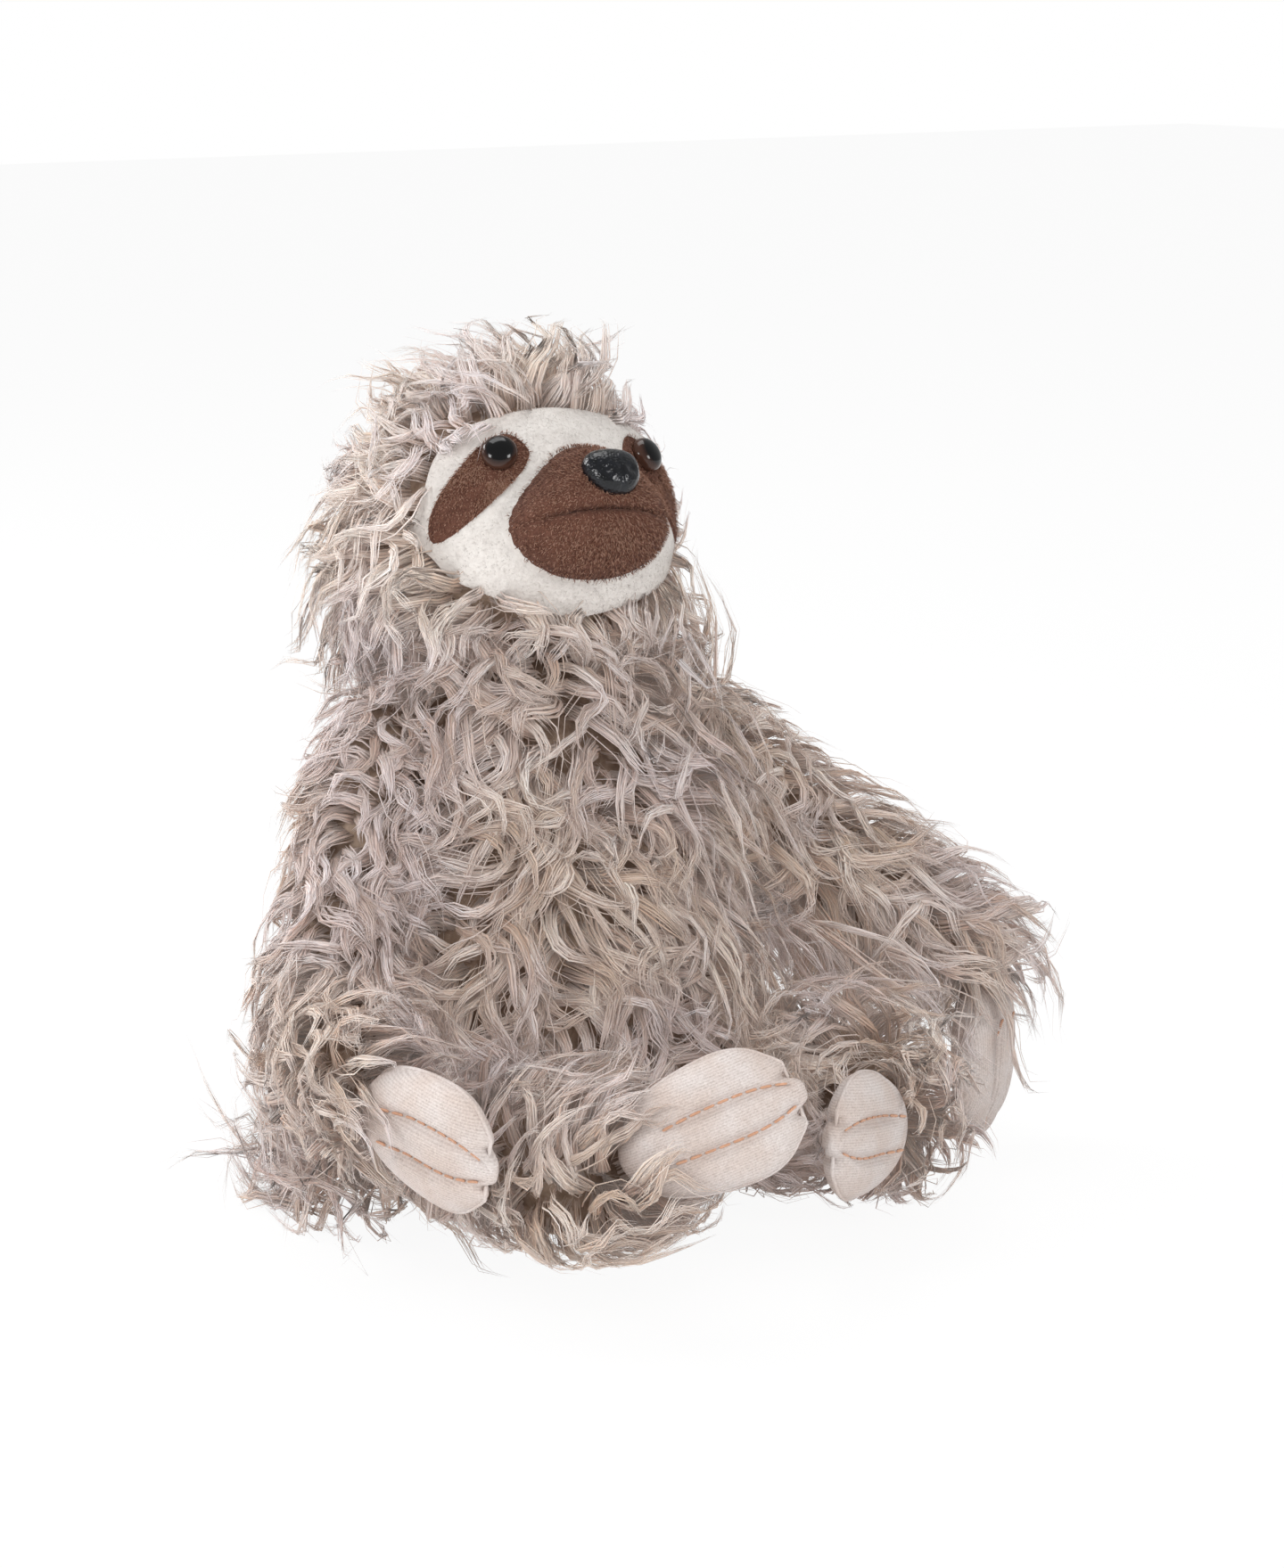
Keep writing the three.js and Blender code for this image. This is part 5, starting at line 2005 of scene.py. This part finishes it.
        paths = HEAD_PLACE.out(np.stack([root, bent, tip], axis=1))
        normals = np.repeat(HEAD_PLACE.out(out)[:, None] - np.array(HEAD_PLACE.origin), 3, axis=1)
        hair = Strands(paths, normals, rng.uniform(*self.nap_width, len(x)), rng.uniform(0, 1, len(x)))
        obj = new_object(f"{panel.name}_nap", *hair.mesh())
        finished(obj, panel.nap, "head")

    def hard_piece(self, name: str, profile: Array, seat: Array, out: Array) -> bpy.types.Object:
        """A turned button on the face.

        Args:
            name: the piece's name.
            profile: n by 2 radii and heights, from the shank's end to the dome's top.
            seat: where height 0 is.
            out: the way that heights go.

        Returns:
            The piece. Its UV holds the share of the radius.
        """
        turn = np.linspace(0, 2 * math.pi, 48, endpoint=False)
        first = unit(np.cross(out, np.array([0.0, 0.0, 1.0])))
        second = np.cross(out, first)
        ring = np.cos(turn)[:, None] * first + np.sin(turn)[:, None] * second
        body = seat + profile[1:-1, 0, None, None] * ring + profile[1:-1, 1, None, None] * out
        ends = seat + profile[[0, -1], 1, None] * out
        points = np.vstack([body.reshape(-1, 3), ends])
        radius = np.append(np.repeat(profile[1:-1, 0], len(turn)), [0, 0]) / profile[:, 0].max()
        uv = np.stack([np.zeros_like(radius), radius], axis=-1)
        obj = new_object(name, HEAD_PLACE.out(points), capped_grid(len(profile) - 2, len(turn)), uv)
        turn_outwards(obj)
        return obj

    def eyes(self) -> None:
        """Domed button eyes with a rolled rim, on their shanks."""
        tilt = np.linspace(0, math.pi / 2, 18)
        radius = self.eye_radius * np.cos(tilt) ** self.dome_fullness
        dome = np.stack([radius, self.dome_foot + self.dome_height * np.sin(tilt)], axis=-1)
        shank = [[0, -13.0], [1.5, -13.0], [2.0, -12.4], [2.0, -0.6]]
        rim = [[5.4, -0.6], [5.9, -0.1], [6.0, 0.7]]
        profile = np.vstack([shank, rim, dome])
        profile[-1, 0] = 0.0
        for hand in Side:
            x, z = np.array(hand.value * self.eye_spread), np.array(self.eye_lift)
            seat = self.surface(x, z, np.array(self.eye_proud))
            out = unit(self.surface(x, z, np.array(3.0)) - self.surface(x, z, np.array(0.0)))
            obj = self.hard_piece(f"eye_button_{hand.label}", profile, seat, out)
            finished(obj, Finish.EYE, "head")
            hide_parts(f"eye_{hand.label}")

    def nose(self) -> None:
        """A broad cap, wider at its top, with two shallow nostrils and a groove between them.

        A nostril is a dent with a bell across and a bell up and down. The skin is faintly pebbled.
        """
        z = np.array(self.nose_lift - self.muzzle_drop)
        seat = self.surface(np.array(0.0), z, np.array(0.0))
        out = unit(self.surface(np.array(0.0), z, np.array(3.0)) - seat)
        points, faces = Rounded(self.nose_halves, self.nose_roundness).skin(0.0, 56, 72)
        points[:, 0] *= 1 + self.nose_widening * points[:, 2] / self.nose_halves[2]
        across = (np.abs(points[:, 0]) - self.nostril_middle[0]) / self.nostril_halves[0]
        height = (points[:, 2] - self.nostril_middle[1]) / self.nostril_halves[1]
        dent = self.nostril_depth * bell(across) * bell(height)
        groove = self.philtrum_depth * bell(points[:, 0] / self.philtrum_width)
        dent += groove * smooth(0.5, -3.0, points[:, 2])
        points[:, 1] += dent * smooth(-1.0, -3.5, points[:, 1])
        points += unit(points) * (Waves(SEED + 40, 1.5, 16).at(points) * self.pebble)[:, None]
        back = -out
        right = unit(np.cross(np.array([0.0, 0.0, 1.0]), out))
        frame = np.stack([right, back, np.cross(right, back)], axis=-1)
        obj = new_object("nose_cap", HEAD_PLACE.out(points @ frame.T + seat), faces)
        turn_outwards(obj)
        finished(obj, Finish.NOSE, "head")
        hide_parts("nose")

    def lean(self, points: Array) -> Array:
        """The way that the hood's pile wants to lie.

        Args:
            points: n by 3 places.

        Returns:
            n by 3 ways: away from the face everywhere, less down and more up and back over the crown.
        """
        own = HEAD_PLACE.into(points)
        away = own * np.array([0.9, 0.15, 1.0])
        away[:, 1] += 22
        crown = smooth(14, 44, own[:, 2])[:, None]
        swept = unit(away) @ HEAD_PLACE.turn.T
        return swept * (0.6 + 0.3 * crown) + DOWN * (0.7 - 0.7 * crown)

    def trim(self, points: Array) -> Array:
        """How long the hood's pile is, as a share.

        Args:
            points: n by 3 places.

        Returns:
            n shares: less beside the mask on the left, under the chin and at the crown's sides, and more at
            the nape and along the crown.
        """
        own = HEAD_PLACE.into(points)
        aside, depth, height = own.T
        ahead = smooth(22, -12, depth)
        beside = ahead * smooth(12, 34, aside) * smooth(-24, -8, height)
        chin = ahead * smooth(-22, -36, height)
        nape = smooth(6, -30, height) * (1 - 0.7 * ahead) * (1 + 0.6 * smooth(10, 40, aside))
        shoulder = smooth(8, 30, height) * smooth(14, 38, np.abs(aside))
        crown = smooth(30, 46, height) * smooth(26, 8, np.abs(aside))
        more = (1 + 0.25 * crown) * (1 + 0.6 * nape)
        return more * (1 - 0.5 * beside) * (1 - 0.35 * chin) * (1 - 0.35 * shoulder)

    def build(self, frame_nodes: dict[str, bpy.types.Object]) -> None:
        """Makes the whole head, and gives the washers inside their finish.

        Args:
            frame_nodes: the CAD nodes by name.
        """
        hood = Rounded(self.hood, self.skull_roundness, (0.0, self.hood_back, 0.0), HEAD_PLACE)
        stuffing = Rounded(self.stuffing, self.skull_roundness, (0.0, self.stuffing_back, 0.0), HEAD_PLACE)
        backing("hood_backing", stuffing, "head", 0.0, ["head_hood", "head_fill"])
        panels = self.panels()
        for panel in panels:
            self.sew(panel)
        self.eyes()
        self.nose()
        count = 200
        middle, reach = closed_outline(panels[0].corners, count)
        angles = np.linspace(-math.pi, math.pi, count, endpoint=False)

        def kept(points: Array) -> Array:
            """Round the face and above the neck.

            Args:
                points: n by 3 places.

            Returns:
                Whether each place grows a lock.
            """
            own = HEAD_PLACE.into(points)
            away = own[:, [0, 2]] - middle
            edge = np.interp(np.arctan2(away[:, 1], away[:, 0]), angles, reach, period=2 * math.pi)
            face = (own[:, 1] < 0) & (np.linalg.norm(away, axis=-1) < edge * 1.05)
            neck = (own[:, 2] < self.neck_level) & (np.hypot(own[:, 0], own[:, 1]) < self.neck_radius)
            return ~face & ~neck

        # The hood's pile is lightened, and twice as much over the crown, where the lift is painted light on
        # the lit top of the head.
        Coat(
            "hood_fur", "head", hood, self.lean, kept, self.room, SEED + 5, trim=self.trim,
            depth=9.5, spacing=5.8, length=(26.0, 46.0), stand=0.3, pale=0.4, pieces=2,
        ).build()
        for name in ("nose_washer", "eye_washer_left", "eye_washer_right"):
            materials = frame_nodes[name].data.materials
            materials.clear()
            materials.append(Finish.WASHER.material())


def turn_outwards(obj: bpy.types.Object) -> None:
    """Points a closed mesh's faces outwards.

    Args:
        obj: the mesh's object.
    """
    work = bmesh.new()
    work.from_mesh(obj.data)
    bmesh.ops.recalc_face_normals(work, faces=work.faces)
    work.to_mesh(obj.data)
    work.free()


# Studio


@dataclass(frozen=True)
class Studio:
    """A white floor and world, three soft boxes in front, two above and behind, and the photograph's camera.

    The camera looks at `aim` from `distance`, both in millimetres, and the lamps look at `lit`, in metres.
    The floor shows white by the share `floor_white`. The world lights with `world_strength`.
    """

    lens: float = 81.86
    azimuth: float = -35.0
    elevation: float = 13.0
    distance: float = 1250.0
    aim: Triple = (52.4, 1.615, 135.92)
    lit: Triple = (0.0, -0.03, 0.13)
    floor_half: float = 6000.0
    floor_white: float = 0.93
    world_strength: float = 0.42

    def camera(self) -> None:
        """Sets the camera at the photograph's viewing angle."""
        data = bpy.data.cameras.new("camera")
        data.sensor_fit = "VERTICAL"
        data.sensor_height = 36.0
        data.lens = self.lens
        data.clip_end = 20.0
        obj = bpy.data.objects.new("camera", data)
        bpy.context.scene.collection.objects.link(obj)
        a, e = math.radians(self.azimuth), math.radians(self.elevation)
        back = Vector((math.sin(a) * math.cos(e), -math.cos(a) * math.cos(e), math.sin(e)))
        obj.location = (Vector(self.aim) + back * self.distance) * MM
        obj.rotation_mode = "QUATERNION"
        obj.rotation_quaternion = (-back).to_track_quat("-Z", "Y")
        bpy.context.scene.camera = obj

    def lamp(self, name: str, place: Triple, size: Pair, power: float) -> bpy.types.Object:
        """A soft box that faces the toy's middle.

        Args:
            name: the lamp's name.
            place: where it stands, in metres.
            size: its width and height, in metres.
            power: its watts.

        Returns:
            The lamp.
        """
        data = bpy.data.lights.new(name, "AREA")
        data.shape = "RECTANGLE"
        data.size, data.size_y = size
        data.energy = power
        obj = bpy.data.objects.new(name, data)
        bpy.context.scene.collection.objects.link(obj)
        obj.location = Vector(place)
        obj.rotation_mode = "QUATERNION"
        obj.rotation_quaternion = (Vector(self.lit) - Vector(place)).to_track_quat("-Z", "Y")
        return obj

    def seen_white(self, graph: Graph, lit: Socket, keep: float) -> Socket:
        """Mixes a lit surface with plain white light, for rays from the camera, off gloss or through glass.

        Args:
            graph: the material's nodes.
            lit: the surface's shader.
            keep: the white's share.

        Returns:
            The mixed shader.
        """
        path = graph.add("ShaderNodeLightPath").outputs
        direct = graph.math("MAXIMUM", path["Is Camera Ray"], path["Is Glossy Ray"])
        seen = graph.math("MAXIMUM", direct, path["Is Transmission Ray"])
        white = graph.add("ShaderNodeEmission", {"Color": (1, 1, 1, 1), "Strength": 1.0}).outputs[0]
        factor = graph.math("MULTIPLY", seen, keep)
        return graph.add("ShaderNodeMixShader", {"0": factor, "1": lit, "2": white}).outputs[0]

    def build(self) -> None:
        """Makes the floor, the world, the lamps and the camera."""
        graph = Graph("white_floor")
        graph.dress(base_color=linear("#ffffff"), roughness=1.0, specular_ior_level=0.0)
        output = next(n for n in graph.tree.nodes if n.type == "OUTPUT_MATERIAL")
        white = self.seen_white(graph, graph.shader.outputs[0], self.floor_white)
        graph.feed(output.inputs["Surface"], white)
        corners = self.floor_half * np.array([[-1, -1, 0], [1, -1, 0], [1, 1, 0], [-1, 1, 0]])
        floor = new_object("floor", corners, np.array([[0, 1, 2, 3]]))
        floor.data.materials.append(graph.material)
        floor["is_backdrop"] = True
        world = bpy.data.worlds.new("studio")
        bpy.context.scene.world = world
        world.use_nodes = True
        tree = world.node_tree
        light = next(n for n in tree.nodes if n.type == "BACKGROUND")
        light.inputs["Color"].default_value = (1.0, 1.0, 1.0, 1.0)
        path = tree.nodes.new("ShaderNodeLightPath")
        strength = tree.nodes.new("ShaderNodeMapRange")
        tree.links.new(path.outputs["Is Camera Ray"], strength.inputs["Value"])
        strength.inputs["To Min"].default_value = self.world_strength
        strength.inputs["To Max"].default_value = 1.0
        tree.links.new(strength.outputs["Result"], light.inputs["Strength"])
        self.lamp("key_box", (-1.38, -0.25, 0.62), (0.4, 0.4), 6)
        self.lamp("fill_box", (0.34, -1.38, 0.62), (0.4, 0.4), 6)
        self.lamp("front_box", (-0.89, -1.27, 1.25), (1.1, 0.8), 10).visible_glossy = False
        self.lamp("top_box", (0.1, 0.5, 1.9), (1.4, 1.0), 14)
        self.lamp("back_box", (-0.9, 1.5, 0.9), (0.9, 0.7), 24)
        self.camera()


# The whole toy


def limb_set() -> list[Limb]:
    """The arms and legs.

    Returns:
        Both arms, then both legs, in the CAD model's places.
    """
    hands = ("hand_back_", "hand_palm_", "hand_fill_")
    feet = ("foot_top_", "foot_sole_", "foot_fill_")

    def paw(kind: str, side: Side, nodes: tuple[str, ...], root: Triple, *angles: float) -> Paw:
        """One hand or foot.

        Args:
            kind: hand or foot.
            side: whose it is.
            nodes: the starts of the names of the CAD nodes that it stands for.
            root: where it is sewn on.
            angles: its heading, pitch and roll, in degrees.

        Returns:
            The paw.
        """
        name = f"{kind}_{side.label}"
        replaced = tuple(f"{node}{side.label}" for node in nodes)
        return Paw(f"{name}_knit", name, replaced, paw_place(root, *angles))

    right, left = Side.RIGHT, Side.LEFT
    arm, leg = (29.0, 27.0, 22.0), (32.0, 31.0, 28.0)
    forward, sideways = (0.0, 1.0, 0.0), (1.0, 0.0, 0.0)
    return [
        Limb(
            "arm", right, (-55, 0, 160), (-82, -22, 86), (-102, -70, 69), arm, forward,
            paw("hand", right, hands, (-102, -69, 68), -172, -9, -90),
            droop=0.9, splay=(-0.5, 0.35, 0.0), floor=28.0, cuff_pile=1.1, root_trim=0.4, fan=0.4,
        ),
        Limb(
            "arm", left, (55, 0, 160), (114, -28, 104), (167, -58, 66), arm, forward,
            paw("hand", left, hands, (159, -60, 66), -152, -90, 0),
            droop=0.8, splay=(0.7, 0.3, -0.15), floor=12.0, cuff_pile=1.4, root_trim=0.2, fan=2.5, skirt=0.8,
        ),
        Limb(
            "leg", right, (-46, -58, 36), (-50, -98, 42), (-50, -134, 47), leg, sideways,
            paw("foot", right, feet, (-50, -133, 54), -120, 22, -104),
            droop=0.5, splay=(0.9, -0.2, 0.0), floor=26.0, cuff_pile=0.95,
        ),
        Limb(
            "leg", left, (46, -58, 36), (72, -86, 44), (72, -119, 38), leg, sideways,
            paw("foot", left, feet, (68, -121, 41), 122, 12, -90),
            droop=0.6, splay=(0.2, 0.0, 0.0), floor=14.0, cuff_pile=0.85,
        ),
    ]


def main() -> None:
    """Builds the studio and the toy."""
    logging.basicConfig(level=logging.INFO, format="%(name)s: %(message)s")
    bpy.context.scene.view_settings.view_transform = "Standard"
    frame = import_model()
    Studio().build()
    room = pieces_room()
    torso = Torso(room)
    limbs = limb_set()
    torso.build([limb.form for limb in limbs])
    for number, limb in enumerate(limbs):
        limb.build(room, torso.form, SEED + 10 + number)
    Head(room).build(frame["nodes"])


if __name__ == "__main__":
    main()
